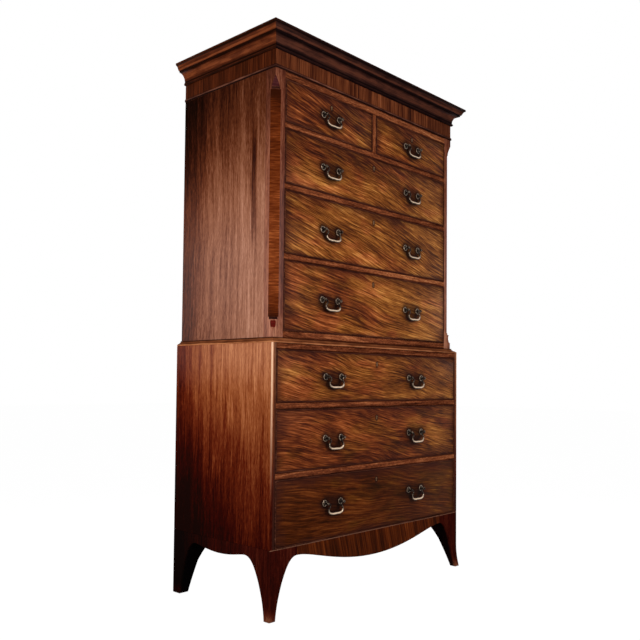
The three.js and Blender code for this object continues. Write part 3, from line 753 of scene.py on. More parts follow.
def straight_mahogany(
        name, axis, tones, seed, reach=1.0, fall=None, back=0.0, bloom=None, tip=0.0, contrast=1.0,
        vein=None, corner=0.0, between=None, broad=0.45, fine=0.6, lift=0.0, arris=False, inner_shade=0.0):
    """Straight-grained mahogany along an axis, whose marks are as long as reach says.

    Lift makes it lighter, contrast weighs its figure, and broad and fine weigh two widths of it. Fall darkens
    it from one height to another and by a share, and back darkens it towards the back; on the case sides and
    feet that is partly patina, partly painted shade. Bloom is a veil of old wax about a height: (height,
    reach, share). A vein is a dark streak: (place in depth, height, reach). Between gives the heights of a
    rail's lower and upper edge, darkened there by dirt and painted shade beside the cockbeads. Tip is how
    much the lowest part is worn lighter, corner how strongly the arris of the lower case is worn and given a
    painted highlight, and arris paints a highlight along the top edge in front. The inner sides of the feet
    are darkened by a share, as painted shade."""
    material, place = new_material(name)
    x, y, z = place.parts()
    wave = place.noise((0.5, 0.5, 0.5), seed + 6, 1) - 0.5
    bent = [part if letter == axis else part + wave * 0.05 for letter, part in zip("xyz", (x, y, z))]
    flat = together(*bent)

    def grain(mark, number, detail=2):
        length, width = mark
        return flat.noise(grain_size(axis, length * reach, width), seed + number, detail, 0.6)

    pores = grain(PORE, 3)
    lines = grain(LINE, 2)
    patches = place.noise(PATCH, seed + 4, 2)
    tone = woven([
        (grain(WIDE_BAND, 0, 1), broad * contrast), (grain(BAND, 1), 0.30 * contrast),
        (lines, fine * contrast), (pores, 0.6 * contrast), (patches, 0.25)]) + lift
    if fall:
        upper, lower, share = fall
        tone = tone - (1 - (z + (patches - 0.5) * 0.15).spread(lower, upper)) * share
    if back:
        depth = y + (patches - 0.5) * 0.1
        tone = tone - depth.spread(-0.2, 0.28) * back - depth.spread(0.12, 0.26) * back * 0.8
    if tip:
        tone = tone + (1 - (z + (lines - 0.5) * 0.03 + (patches - 0.5) * 0.04).spread(0.002, 0.045)) * tip
    if vein:
        behind, height, span = vein
        aside = (y - behind + wave * 0.04 + (lines - 0.5) * 0.012).maths("ABSOLUTE").spread(0.020, 0.007)
        tone = tone - aside * (z - height).maths("ABSOLUTE").spread(span, span * 0.3) * 0.28
    if between:
        # Painted shade and dirt along the rail's edges beside the cockbeads.
        inside = (z - between[0]).spread(0.0005, 0.0055) * (between[1] - z).spread(0.0005, 0.0045)
        tone = tone + inside * 0.32 - 0.27
    colour = tone.ramp(*tones)
    if corner:
        colour = worn_and_highlit_corner(colour, x, y, z, lines, patches, corner)
    if arris:
        colour = painted_arris_highlight(colour, z, (LOWER_FACE + 4 * MM - y).spread(0.0, 1 * MM))
    if inner_shade:
        colour = painted_inner_shade(colour, x, y, z, inner_shade)
    coat = 0.0
    if bloom:
        height, width, share = bloom
        near = 1 - (z - height + (patches - 0.5) * 0.1).maths("ABSOLUTE").spread(width * 0.2, width)
        coat = near * share * (lines * 0.6 + 0.7) * (1 - y * 0.9)
    roughness = 0.42 + (lines - 0.5) * 0.2 + (patches - 0.5) * 0.12
    return waxed(
        material, colour, roughness, pores * 0.6 + lines * 0.4, coat, 0.25, 0.14, coat_roughness=0.5)


def crossbanded(name, tones, width, seed, joint=0.0, slant=0.0, contrast=1.0, arris=False):
    """Veneer whose grain runs across a band, so that its streaks stand upright along the band. Joint is the
    length of its leaves, slant leans its streaks, and arris paints a highlight along its top edge."""
    material, place = new_material(name)
    x, y, z = place.parts()
    run = together(x + y + z * slant, 0.0, z)
    bands = run.noise((width * 2.6, 1, 0.5), seed, 1)
    streaks = run.noise((width * 0.6, 1, 0.22), seed + 1, 2, 0.6)
    lines = run.noise((width * 0.25, 1, 0.09), seed + 2, 2, 0.6)
    tone = woven([(bands, 0.6 * contrast), (streaks, 0.9 * contrast), (lines, 0.9 * contrast)])
    colour = tone.ramp(*tones)
    if arris:
        colour = painted_arris_highlight(colour, z)
    if joint:
        wander = run.noise((0.02, 1, 1), seed + 3, 0) - 0.5
        leaf = ((x + y + wander * 0.02) * (1 / joint)).maths("FRACT")
        seam = 1 - leaf.spread(0.0, 0.035)
        colour = colour.blended(screen(30, 14, 10), seam * 0.7)
    return waxed(material, colour, 0.42 + (lines - 0.5) * 0.2, lines, 0.02)


def cant_veneer(name, tones, seed, ends=()):
    """Veneer laid across the cant, with its streaks level, darker towards its ends and lightest between."""
    material, place = new_material(name)
    height = place.parts()[2]
    bands = place.noise((0.2, 0.2, 0.06), seed, 1)
    streaks = place.noise((0.06, 0.06, 0.0055), seed + 1, 2, 0.6)
    lines = place.noise((0.02, 0.02, 0.0016), seed + 2, 2, 0.6)
    tone = woven([(bands, 0.6), (streaks, 0.95), (lines, 0.6)])
    for end in ends:
        tone = tone - (height - end).maths("ABSOLUTE").spread(0.045, 0.0) * 0.35
    if ends:
        tone = tone + 0.09 - (height - CANT_LIGHT).maths("ABSOLUTE").spread(0.08, 0.50) * 0.30
    return waxed(material, tone.ramp(*tones), 0.40 + (lines - 0.5) * 0.2, lines, 0.02)


def moulding_mahogany(name, tones, seed, wear_and_painted_light=()):
    """Mahogany along a moulding that turns a corner. Each entry of its list gives a height, a reach and how
    much
    lighter or darker the wood is there: painted shade with some dirt in hollows, painted highlights on edges."""
    material, place = new_material(name)
    x, y, z = place.parts()
    run = together(x + y, 0.0, z)
    bands = run.noise((0.24, 1, 0.010), seed, 2)
    lines = run.noise((0.07, 1, 0.0022), seed + 1, 2, 0.6)
    dust = place.noise((0.05, 0.05, 0.02), seed + 2, 3)
    tone = woven([(bands, 0.6), (lines, 0.6), (dust, 0.5)])
    for height, reach, change in wear_and_painted_light:
        tone = tone + (z - height).maths("ABSOLUTE").spread(reach, reach * 0.3) * change
    return waxed(material, tone.ramp(*tones), 0.40 + (dust - 0.5) * 0.25, lines, 0.015)


def plain_board(name, tones, axis, seed, board=0.0):
    """Bare planed wood with growth rings and pores along an axis. Boards of a width differ in tone."""
    material, place = new_material(name)
    x = place.parts()[0]

    def grain(length, width, number, detail=2):
        return place.noise(grain_size(axis, length, width), seed + number, detail, 0.6)

    pores = grain(0.010, 0.0009, 2, 1)
    lines = grain(0.12, 0.0026, 1)
    grime = place.noise((0.15, 0.15, 0.15), seed + 3, 3)
    tone = woven([(grain(0.5, 0.016, 0), 0.9), (lines, 0.7), (pores, 0.4), (grime, 0.7)])
    if board:
        plank = (x * (1 / board) + 40.5).maths("FLOOR")
        pick = plank.node("ShaderNodeTexWhiteNoise", {"noise_dimensions": "1D"}, {"W": plank})
        tone = tone + (pick - 0.5) * 0.3
    return surface(
        material, tone.ramp(*tones), 0.72 + (grime - 0.5) * 0.2, pores * 0.5 + lines * 0.5,
        strength=0.35, depth=0.2, Specular_IOR_Level=0.2)


def aged_brass(name, dull, bright, rub=True):
    """Dark aged brass, bright where its attribute marks a hand's wear and a painted highlight."""
    material, place = new_material(name)
    spots = place.noise((0.006, 0.006, 0.006), 2, 3)
    fine = place.noise((0.0015, 0.0015, 0.0015), 5, 2)
    wear_and_painted_light = (spots - 0.5) * 0.9
    if rub:
        # The attribute holds wear together with a painted highlight.
        wear_and_painted_light = wear_and_painted_light + place.node("ShaderNodeAttribute", {"attribute_name": "rub"}, {}, 2)
    else:
        wear_and_painted_light = wear_and_painted_light + 0.12
    share = wear_and_painted_light.spread(0.05, 0.95)
    colour = share.ramp((0, dull), (1, bright))
    return surface(
        material, colour, 0.46 - share * 0.14 + (fine - 0.5) * 0.15, fine, strength=0.1, depth=0.1,
        Metallic=1.0)


def shades(*colours, low=0.16, high=0.86):
    """Colours from dark to light as the stops of a ramp, spread evenly from a low tone to a high one."""
    step = (high - low) / (len(colours) - 1)
    return [(low + step * i, screen(*colour)) for i, colour in enumerate(colours)]


# The colours of each wood, from dark to light
RAIL_TONES = shades((38, 15, 8), (68, 31, 17), (98, 49, 28), (132, 73, 43), (176, 112, 70))
POST_TONES = shades((60, 27, 17), (94, 48, 32), (122, 69, 48), (148, 91, 66), (172, 118, 90))
FLAT_TONES = shades((34, 13, 9), (62, 27, 18), (90, 44, 30), (120, 68, 48), (160, 106, 80))
UPPER_SIDE_TONES = shades(
    (20, 8, 4), (48, 18, 9), (87, 41, 21), (126, 76, 52), (157, 107, 83), (190, 141, 112), low=0.0)
LOWER_SIDE_TONES = shades(
    (21, 7, 5), (49, 8, 4), (87, 29, 11), (126, 65, 33), (161, 99, 62), (190, 131, 90), low=0.0, high=0.80)
FOOT_TONES = shades((13, 6, 5), (26, 7, 5), (50, 11, 6), (78, 30, 18), (124, 74, 50), low=0.1, high=0.95)
APRON_TONES = shades((24, 8, 2), (42, 14, 4), (64, 24, 7), (88, 37, 12), (118, 57, 22))
FRONT_TONES = shades((38, 13, 5), (72, 29, 12), (112, 53, 22), (152, 82, 40), (194, 118, 68))
RED_FRONT_TONES = shades((26, 8, 1), (46, 17, 3), (70, 29, 8), (96, 46, 15), (128, 70, 28))
MOULDING_TONES = shades((27, 10, 4), (52, 21, 10), (78, 34, 16), (116, 58, 30))
WAIST_TONES = shades((50, 22, 10), (86, 43, 23), (124, 70, 40), (172, 110, 70))
BEAD_TONES = shades((28, 12, 9), (50, 24, 17), (78, 42, 30), (126, 78, 58))
ASTRAGAL_TONES = shades((20, 8, 6), (38, 18, 13), (62, 32, 24), (118, 72, 54))
FRONT_SHADED_MOULDING_TONES = shades((16, 7, 7), (30, 14, 12), (48, 25, 20), (78, 42, 30))
FRIEZE_TONES = shades((31, 12, 6), (57, 24, 12), (85, 41, 22), (118, 63, 35), (150, 88, 54))
DARK_FRIEZE_TONES = shades((24, 8, 3), (42, 15, 5), (61, 24, 9), (84, 36, 15), (108, 52, 26))
CANT_TONES = shades((46, 15, 4), (76, 29, 8), (104, 46, 18), (142, 74, 34))
QUIRK_TONES = shades((20, 8, 6), (40, 18, 13), (66, 34, 25))
UPPER_TONGUE_TONES = shades((32, 11, 12), (60, 25, 26), (98, 50, 48))
LOWER_TONGUE_TONES = shades((50, 8, 6), (84, 20, 14), (120, 48, 38))
OAK_TONES = shades((92, 58, 34), (144, 100, 62), (174, 130, 86), (198, 156, 110))
PINE_TONES = shades((80, 49, 28), (124, 81, 48), (152, 105, 64), (176, 128, 84))

# The woods of the cases and the base
# The upper sides darken towards the top and the back: partly patina, partly painted shade.
upper_side_wood = straight_mahogany(
    "upper_side_mahogany", "z", UPPER_SIDE_TONES, 1.0, fall=(1.28, 1.86, 0.32), back=0.20, lift=0.10,
    bloom=(1.0, 0.6, 0.26), vein=(-0.118, 1.40, 0.26), contrast=0.8, broad=0.3, fine=0.5)
# The lower sides darken towards the floor and the back, partly patina and partly painted shade, and their
# front arris is worn and given a painted highlight.
lower_side_wood = straight_mahogany(
    "lower_side_mahogany", "z", LOWER_SIDE_TONES, 3.0, fall=(0.92, 0.06, 0.46), back=0.15, lift=0.06,
    bloom=(0.90, 0.20, 0.15), corner=0.8, contrast=0.7)
# The feet darken towards the back, partly patina and partly painted shade, with painted shade on their inner
# sides and a painted highlight along the top edge in front.
foot_wood = straight_mahogany(
    "foot_mahogany", "z", FOOT_TONES, 5.0, back=0.30, tip=0.36, contrast=0.8, arris=True, inner_shade=0.9)
# The front apron, with a painted highlight along its top edge.
apron_wood = crossbanded("apron_mahogany", APRON_TONES, 0.012, 2.0, slant=0.25, contrast=0.8, arris=True)
post_wood = straight_mahogany(
    "post_mahogany", "z", POST_TONES, 7.0, fall=(1.35, 1.80, 0.32), bloom=(1.1, 0.6, 0.22))
flat_wood = straight_mahogany(
    "post_flat_mahogany", "z", FLAT_TONES, 8.0, fall=(CANT_BASE + 0.015, CANT_BASE - 0.01, -0.15),
    bloom=(1.18, 0.40, 0.40), lift=0.06)
divider_wood = straight_mahogany("divider_mahogany", "z", RAIL_TONES, 10.0, reach=0.25)
cant_wood = cant_veneer("cant_mahogany", CANT_TONES, 3.0, (CANT_BASE, CANT_TOP))
quirk_wood = cant_veneer("quirk_mahogany", QUIRK_TONES, 7.0)
upper_tongue_wood = cant_veneer("upper_tongue_mahogany", UPPER_TONGUE_TONES, 5.0)
lower_tongue_wood = cant_veneer("lower_tongue_mahogany", LOWER_TONGUE_TONES, 6.0)
frieze_wood = crossbanded("frieze_mahogany", FRIEZE_TONES, 0.011, 4.0, joint=0.31, contrast=0.85)
dark_frieze_wood = crossbanded("dark_frieze_mahogany", DARK_FRIEZE_TONES, 0.013, 7.0, contrast=0.8)

# The woods of the mouldings. Painted shade, with some dirt, darkens their hollows and painted highlights
# lighten
# the edges, the rounds and the cavetto: a height, how far that reaches and how much lighter or darker it is.
# In the cornice the height is a share of its own.
CORNICE_WEAR_AND_LIGHT = (
    (0.02, 4 * MM, -0.30), (0.17, 4 * MM, -0.40), (0.42, 14 * MM, 0.26), (0.61, 4 * MM, -0.45),
    (0.69, 4 * MM, 0.28), (0.77, 8 * MM, 0.08), (0.89, 3 * MM, -0.35), (0.99, 3 * MM, 0.12))
cornice_low, cornice_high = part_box("cornice")
waist_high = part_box("waist_moulding")[1]
astragal_low, astragal_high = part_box("astragal")
cornice_wear_and_light = [
    (cornice_low.z + share * (cornice_high.z - cornice_low.z), reach, change)
    for share, reach, change in CORNICE_WEAR_AND_LIGHT]
moulding_wood = moulding_mahogany("moulding_mahogany", MOULDING_TONES, 2.0, cornice_wear_and_light)
# A darker copy of the cornice's wood for its front faces, as painted shade.
front_shaded_moulding_wood = moulding_mahogany("dark_moulding_mahogany", FRONT_SHADED_MOULDING_TONES, 8.0, cornice_wear_and_light)
# The waist: painted shade where it meets the upper case, a painted highlight along its lower edge.
waist_wood = moulding_mahogany("waist_mahogany", WAIST_TONES, 5.0, [
    (waist_high.z, 5 * MM, -0.7), (LOWER_TOP + 2 * MM, 4 * MM, 0.25)])
# The astragal: painted shade along its lower edge, a painted highlight along its round.
astragal_wood = moulding_mahogany("astragal_mahogany", ASTRAGAL_TONES, 3.0, [
    (astragal_low.z, 4 * MM, -0.4), ((astragal_low.z + astragal_high.z) / 2 + 1 * MM, 3 * MM, 0.2)])
bead_wood = moulding_mahogany("bead_mahogany", BEAD_TONES, 6.0)

# Bare woods and brass
oak_sides = plain_board("drawer_oak_lengthways", OAK_TONES, "y", 1.0)
oak_across = plain_board("drawer_oak_crossways", OAK_TONES, "x", 4.0)
pine = plain_board("back_pine", PINE_TONES, "z", 2.0, board=0.195)
roof_pine = plain_board("roof_pine", PINE_TONES, "x", 6.0)
# The bright brass of the handles shows their wear and their painted highlights.
handle_brass = aged_brass("handle_brass", screen(24, 18, 15), screen(222, 194, 166))
rim_brass = aged_brass("rim_brass", screen(104, 76, 52), screen(196, 154, 112), rub=False)
lock_brass = aged_brass("lock_brass", screen(70, 58, 38), screen(160, 130, 80), rub=False)


# Base

def splay_at(z):
    """How far the front feet stand out at a height."""
    return SPLAY * (1 - z / SPLAY_HEIGHT) ** 2 if z < SPLAY_HEIGHT else 0.0


def foot_outline(reach, tip, ankle):
    """The side of a foot, from its tip through its ankle to the arch beside it."""
    wide = ankle - tip
    spread = reach - ankle
    outline = Outline([(-SPLAY - OVERRUN, -OVERRUN), (tip, -OVERRUN), (tip, 0)])
    outline.curve(
        tip + wide * 0.3, ANKLE_HEIGHT * 0.36, tip + wide * 0.7, ANKLE_HEIGHT * 0.73, ankle, ANKLE_HEIGHT, 20)
    outline.curve(
        ankle + spread * 0.25, (ANKLE_HEIGHT + ARCH_HEIGHT) / 2, ankle + spread * 0.5, ARCH_HEIGHT,
        reach, ARCH_HEIGHT, 20)
    outline.line(reach + OVERRUN, ARCH_HEIGHT).line(reach + OVERRUN, BASE_HEIGHT + OVERRUN)
    return outline.line(-SPLAY - OVERRUN, BASE_HEIGHT + OVERRUN)


def make_feet():
    """Each foot is shaped at a corner on the origin, inwards positive, and moved to its place."""
    reach = FOOT_REACH - JOINT_GAP / 2
    section = Outline([
        (0, 0), (reach, 0), (reach, APRON_THICKNESS), (FOOT_BLOCK, APRON_THICKNESS),
        (FOOT_BLOCK, FOOT_BLOCK), (APRON_THICKNESS, FOOT_BLOCK), (APRON_THICKNESS, reach), (0, reach)])
    heights = [SPLAY_HEIGHT * i / SPLAY_STEPS for i in range(SPLAY_STEPS + 1)] + [BASE_HEIGHT - JOINT_GAP]
    for end in ("front", "back"):
        back = end == "back"

        def station(z, back=back):
            out = 0 if back else splay_at(z)
            return lambda u, v: Vector((u - out, v - out, z))

        foot = drawn_through("foot_" + end, section, [station(z) for z in heights])
        span = (-SPLAY - OVERRUN, reach + OVERRUN)
        sizes = (BACK_FOOT_TIP, BACK_ANKLE_WIDTH) if back else (FOOT_TIP, ANKLE_WIDTH)
        for axis in "yx":
            with_boolean(foot, cut_out("foot_side", [foot_outline(reach, *sizes)], axis, *span), "INTERSECT")
        tidied(foot, flat=True)
        softened(foot, FOOT_ROUND, 2, 40)
        for side, sign in SIDES:
            corner = (sign * LOWER_HALF, BACK if back else LOWER_FACE, 0)
            placed = copied(foot, f"foot_{end}_{side}_worked", corner, (-sign, -1 if back else 1, 1))
            tidied(placed)
            finished(placed, "carcass", foot_wood, [f"foot_{end}_{side}"])
        bpy.data.objects.remove(foot)


def apron_outline(half, dip, middle=0.0):
    """An apron that dips in the middle, from the arch of one foot to the arch of the next."""
    top, low = BASE_HEIGHT - JOINT_GAP, ARCH_HEIGHT - dip
    outline = Outline([(middle - half, top), (middle - half, ARCH_HEIGHT)])
    outline.curve(middle - half * 0.82, ARCH_HEIGHT, middle - half * 0.5, low, middle, low, 28)
    outline.curve(middle + half * 0.5, low, middle + half * 0.82, ARCH_HEIGHT, middle + half, ARCH_HEIGHT, 28)
    return outline.line(middle + half, top)


def make_aprons():
    low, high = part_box("front_apron")
    front = cut_out(
        "front_apron_worked", [apron_outline(high.x, FRONT_APRON_DIP)], "y", low.y, high.y, APRON_ROUND)
    finished(front, "carcass", apron_wood, ["front_apron"])
    for side in ("left", "right"):
        low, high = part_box(f"{side}_apron")
        half, middle = (high.y - low.y) / 2, (high.y + low.y) / 2
        apron = cut_out(
            f"{side}_apron_worked", [apron_outline(half, SIDE_APRON_DIP, middle)], "x",
            low.x, high.x, APRON_ROUND)
        finished(apron, "carcass", foot_wood, [f"{side}_apron"])


# Mouldings

def mitred(name, profile, base):
    """A moulding along the left side, the front and the right side, mitred at the corners."""
    return drawn_through(name, profile, [
        lambda out, up: Vector((-UPPER_HALF - out, BACK, base + up)),
        lambda out, up: Vector((-UPPER_HALF - out, UPPER_FACE - out, base + up)),
        lambda out, up: Vector((UPPER_HALF + out, UPPER_FACE - out, base + up)),
        lambda out, up: Vector((UPPER_HALF + out, BACK, base + up)),
    ])


def cornice_profile():
    """From the wall outwards and up: a small ovolo, a deep cavetto, a fillet, an ogee and a flat top edge."""
    low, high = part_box("cornice")
    wide, tall = high.x - UPPER_HALF, high.z - low.z
    profile = Outline([(JOINT_GAP, 0), (wide * 0.07, 0)])
    profile.curve(wide * 0.2, 0, wide * 0.2, tall * 0.13, wide * 0.1, tall * 0.13, 14)
    profile.line(wide * 0.1, tall * 0.2)
    profile.curve(
        wide * 0.14, tall * 0.42, wide * 0.3, tall * 0.56, wide * 0.56, tall * 0.58, 20)
    profile.line(wide * 0.63, tall * 0.58).line(wide * 0.63, tall * 0.64)
    profile.curve(
        wide * 0.82, tall * 0.66, wide * 0.76, tall * 0.84, wide * 0.94, tall * 0.88, 20)
    profile.line(wide, tall * 0.9).line(wide, tall)
    return profile.line(JOINT_GAP, tall), low.z


def waist_profile():
    """A fillet with an ogee above it that dies into the upper case."""
    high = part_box("waist_moulding")[1]
    wide, tall = high.x - UPPER_HALF, high.z - LOWER_TOP
    fillet, inner = tall * 0.14, wide * 0.2
    profile = Outline([(JOINT_GAP, JOINT_GAP), (wide, JOINT_GAP), (wide, fillet)])
    profile.curve(wide * 0.78, tall * 0.52, wide * 0.46, tall * 0.36, inner, tall - fillet, 16)
    return profile.line(inner, tall).line(JOINT_GAP, tall), LOWER_TOP


def astragal_profile():
    """A half round."""
    low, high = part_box("astragal")
    wide, tall = high.x - UPPER_HALF, high.z - low.z
    profile = Outline([(JOINT_GAP, 0), (wide * 0.4, 0)])
    profile.curve(wide * 1.2, 0, wide * 1.2, tall, wide * 0.4, tall, 14)
    return profile.line(JOINT_GAP, tall), low.z


def make_mouldings():
    for node, (profile, base), woods in (
            ("cornice", cornice_profile(), (moulding_wood, front_shaded_moulding_wood)),
            ("waist_moulding", waist_profile(), (waist_wood, waist_wood)),
            ("astragal", astragal_profile(), (astragal_wood, astragal_wood))):
        moulding = mitred(node + "_worked", profile, base)
        softened(moulding, MOULDING_ROUND)
        for wood in woods:
            moulding.data.materials.append(wood)
        # Front faces take the second wood, which on the cornice is the copy darkened as painted shade.
        for face in moulding.data.polygons:
            face.material_index = int(UPPER_FACE - face.center.y > abs(face.center.x) - UPPER_HALF)
        finished(moulding, "carcass", woods[0], [node], 28)


# Cases

def post_wood_of(face, slope):
    """The wood of a face of a post: its front, its cant with a quirk and a tongue at each end, or a side."""
    if face.normal.y < -SQUARE_ON:
        return flat_wood
    if face.normal.dot(slope) < SQUARE_ON:
        return post_wood
    if face.center.z < CANT_BASE - QUIRK:
        return lower_tongue_wood
    if face.center.z > CANT_TOP + QUIRK:
        return upper_tongue_wood
    return cant_wood if CANT_BASE < face.center.z < CANT_TOP else quirk_wood


def make_posts():
    woods = [post_wood, cant_wood, lower_tongue_wood, upper_tongue_wood, flat_wood, quirk_wood]
    for side, sign in SIDES:
        post = dressed(f"corner_post_{side}", woods[0], POST_EDGE)
        for wood in woods[1:]:
            post.data.materials.append(wood)
        slope = Vector((sign, -1, 0)).normalized()
        for face in post.data.polygons:
            face.material_index = woods.index(post_wood_of(face, slope))


# Each board or rail that shows in front, with the drawers above and below it
RAILS = (
    ("upper_top_board", None, "short_drawer_left"),
    ("upper_rail_top", "short_drawer_left", "upper_drawer_top"),
    ("upper_rail_middle", "upper_drawer_top", "upper_drawer_middle"),
    ("upper_rail_bottom", "upper_drawer_middle", "upper_drawer_bottom"),
    ("upper_bottom_board", "upper_drawer_bottom", None),
    ("lower_top_board", None, "lower_drawer_top"),
    ("lower_rail_upper", "lower_drawer_top", "lower_drawer_middle"),
    ("lower_rail_lower", "lower_drawer_middle", "lower_drawer_bottom"),
)


def make_cases():
    for side in ("left", "right"):
        dressed(f"lower_side_{side}", lower_side_wood, LOWER_SIDE_EDGE, 3)
        dressed(f"upper_side_{side}", upper_side_wood, UPPER_SIDE_EDGE)
    for i, (node, above, below) in enumerate(RAILS):
        low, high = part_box(node)
        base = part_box(below + "_front")[1].z if below else low.z
        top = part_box(above + "_front")[0].z if above else high.z
        # Each rail is darker along its edges, with dirt and painted shade beside the cockbeads.
        wood = straight_mahogany(
            node + "_mahogany", "x", RAIL_TONES, 9.0 + i, reach=0.7, contrast=1.25, between=(base, top))
        dressed(node, wood)
    dressed("short_drawer_divider", divider_wood)
    dressed("lower_bottom_board", oak_across)
    frieze = dressed("frieze", frieze_wood, FRIEZE_EDGE)
    frieze.data.materials.append(dark_frieze_wood)
    for face in frieze.data.polygons:
        face.material_index = int(abs(face.normal.x) > SQUARE_ON)
    for node in ("lower_back_board", "upper_back_board"):
        dressed(node, pine, BACK_EDGE)
    dressed("cornice_top_board", roof_pine)


# Drawers

def keyhole(x, z, margin):
    """A keyhole outline about the middle of its round part, wider all round by a margin."""
    radius = KEYHOLE_RADIUS + margin
    half = KEY_SLOT_WIDTH / 2 + margin
    start = math.asin(half / radius) - math.pi / 2
    outline = Outline([(x + half, z - KEY_SLOT_LENGTH - margin)])
    outline.arc(x, z, radius, start, math.pi - start, 24)
    return outline.line(x - half, z - KEY_SLOT_LENGTH - margin)


def rectangle(left, right, low, high):
    return Outline([(left, low), (right, low), (right, high), (left, high)])


def tail_places(low, high):
    """The middles of the dovetails between two heights, and their half height at the wide end."""
    count = max(1, round((high - low) / TAIL_PITCH))
    pitch = (high - low) / count
    return [low + pitch * (i + 0.5) for i in range(count)], (pitch - PIN_WIDTH) / 2


def make_board(name, outer, inner, key_cut, wood):
    """The board of a drawer front, with its keyhole and the sockets for the dovetails, bare oak behind."""
    node = name + "_front"
    low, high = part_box(node)
    tray_low, tray_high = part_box(name + "_tray")
    board = box_piece(
        node + "_board", (low.x + BOARD_INSET, outer, low.z + BOARD_INSET),
        (high.x - BOARD_INSET, inner, high.z - BOARD_INSET), FRONT_EDGE)
    with_boolean(
        board, cut_out("key_cut", [key_cut], "y", outer - OVERRUN, outer + KEY_CUT_DEPTH), "DIFFERENCE")
    middles, half = tail_places(tray_low.z, tray_high.z)
    flare = TAIL_LENGTH * TAIL_SLOPE
    root = tray_low.y + TAIL_LENGTH
    end = tray_low.y - JOINT_GAP
    half += JOINT_GAP
    sockets = [Outline([
        (end, z - half), (root, z - half + flare), (root + OVERRUN, z - half + flare),
        (root + OVERRUN, z + half - flare), (root, z + half - flare), (end, z + half)]) for z in middles]
    for left, right in (
            (low.x - OVERRUN, tray_low.x + LINING + JOINT_GAP),
            (tray_high.x - LINING - JOINT_GAP, high.x + OVERRUN)):
        with_boolean(board, cut_out("socket_cut", sockets, "x", left, right), "DIFFERENCE")
    board.data.materials.append(wood)
    board.data.materials.append(oak_across)
    for face in board.data.polygons:
        if face.normal.y > 0.5 or face.center.y > outer + SHOW_DEPTH:
            face.material_index = 1
    finished(board, name, wood, [node], 30)


def make_front(name, face, wood):
    """The board behind its cockbead, the lining of its keyhole and its lock."""
    node = name + "_front"
    low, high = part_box(node)
    outer, inner = face + FRONT_INSET, face + FRONT_INSET + FRONT_THICKNESS
    middle = (low.x + high.x) / 2
    key_z = high.z + FRONT_GAP - KEYHOLE_DROP
    make_board(name, outer, inner, keyhole(middle, key_z, 0.0), wood)

    bead = cut_out(
        node + "_cockbead", [
            rectangle(low.x, high.x, low.z, high.z),
            rectangle(low.x + BEAD_WIDTH, high.x - BEAD_WIDTH, low.z + BEAD_WIDTH, high.z - BEAD_WIDTH)],
        "y", outer - BEAD_PROUD, outer - BEAD_PROUD + BEAD_DEPTH, BEAD_ROUND)
    finished(bead, name, bead_wood, [node], 50)

    rim = cut_out(
        node + "_keyhole_lining", [keyhole(middle, key_z, KEYHOLE_RIM), keyhole(middle, key_z, 0.0)],
        "y", outer - KEYHOLE_PROUD, outer + KEYHOLE_RIM, RIM_ROUND)
    finished(rim, name, rim_brass, [node], 40)

    lock_top = high.z - LOCK_TOP_DROP
    lock = box_piece(
        node + "_lock", (middle - LOCK_WIDTH / 2, inner - LOCK_SUNK, lock_top - LOCK_HEIGHT),
        (middle + LOCK_WIDTH / 2, inner + LOCK_DEPTH, lock_top), LOCK_ROUND)
    finished(lock, name, lock_brass, [node], 40)


def make_tray(name):
    """Two dovetailed sides, a back and a bottom."""
    node = name + "_tray"
    low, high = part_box(node)
    root = low.y + TAIL_LENGTH
    middles, half = tail_places(low.z, high.z)
    flare = TAIL_LENGTH * TAIL_SLOPE
    outline = Outline([(high.y, high.z), (high.y, low.z), (root, low.z)])
    for z in middles:
        outline.line(root, z - half + flare).line(low.y, z - half)
        outline.line(low.y, z + half).line(root, z + half - flare)
    outline.line(root, high.z)
    for side, left in (("left", low.x), ("right", high.x - LINING)):
        board = cut_out(f"{node}_{side}", [outline], "x", left, left + LINING, TRAY_EDGE)
        finished(board, name, oak_sides, [node], 30)
    back = box_piece(
        node + "_back", (low.x + LINING, high.y - LINING, low.z), (high.x - LINING, high.y, high.z))
    finished(back, name, oak_across, [node])
    floor = low.z + TRAY_BOTTOM_RAISE
    bottom = box_piece(
        node + "_bottom", (low.x + LINING, root, floor),
        (high.x - LINING, high.y - LINING, floor + TRAY_BOTTOM))
    finished(bottom, name, oak_across, [node])


# Handles

def worn_and_highlit(piece, rub):
    """Writes how much a hand rubs each point, together with its painted highlight, which the brass reads."""
    worn = piece.data.attributes.new("rub", "FLOAT", "POINT")
    for entry, vertex in zip(worn.data, piece.data.vertices):
        entry.value = rub(vertex)
    return piece


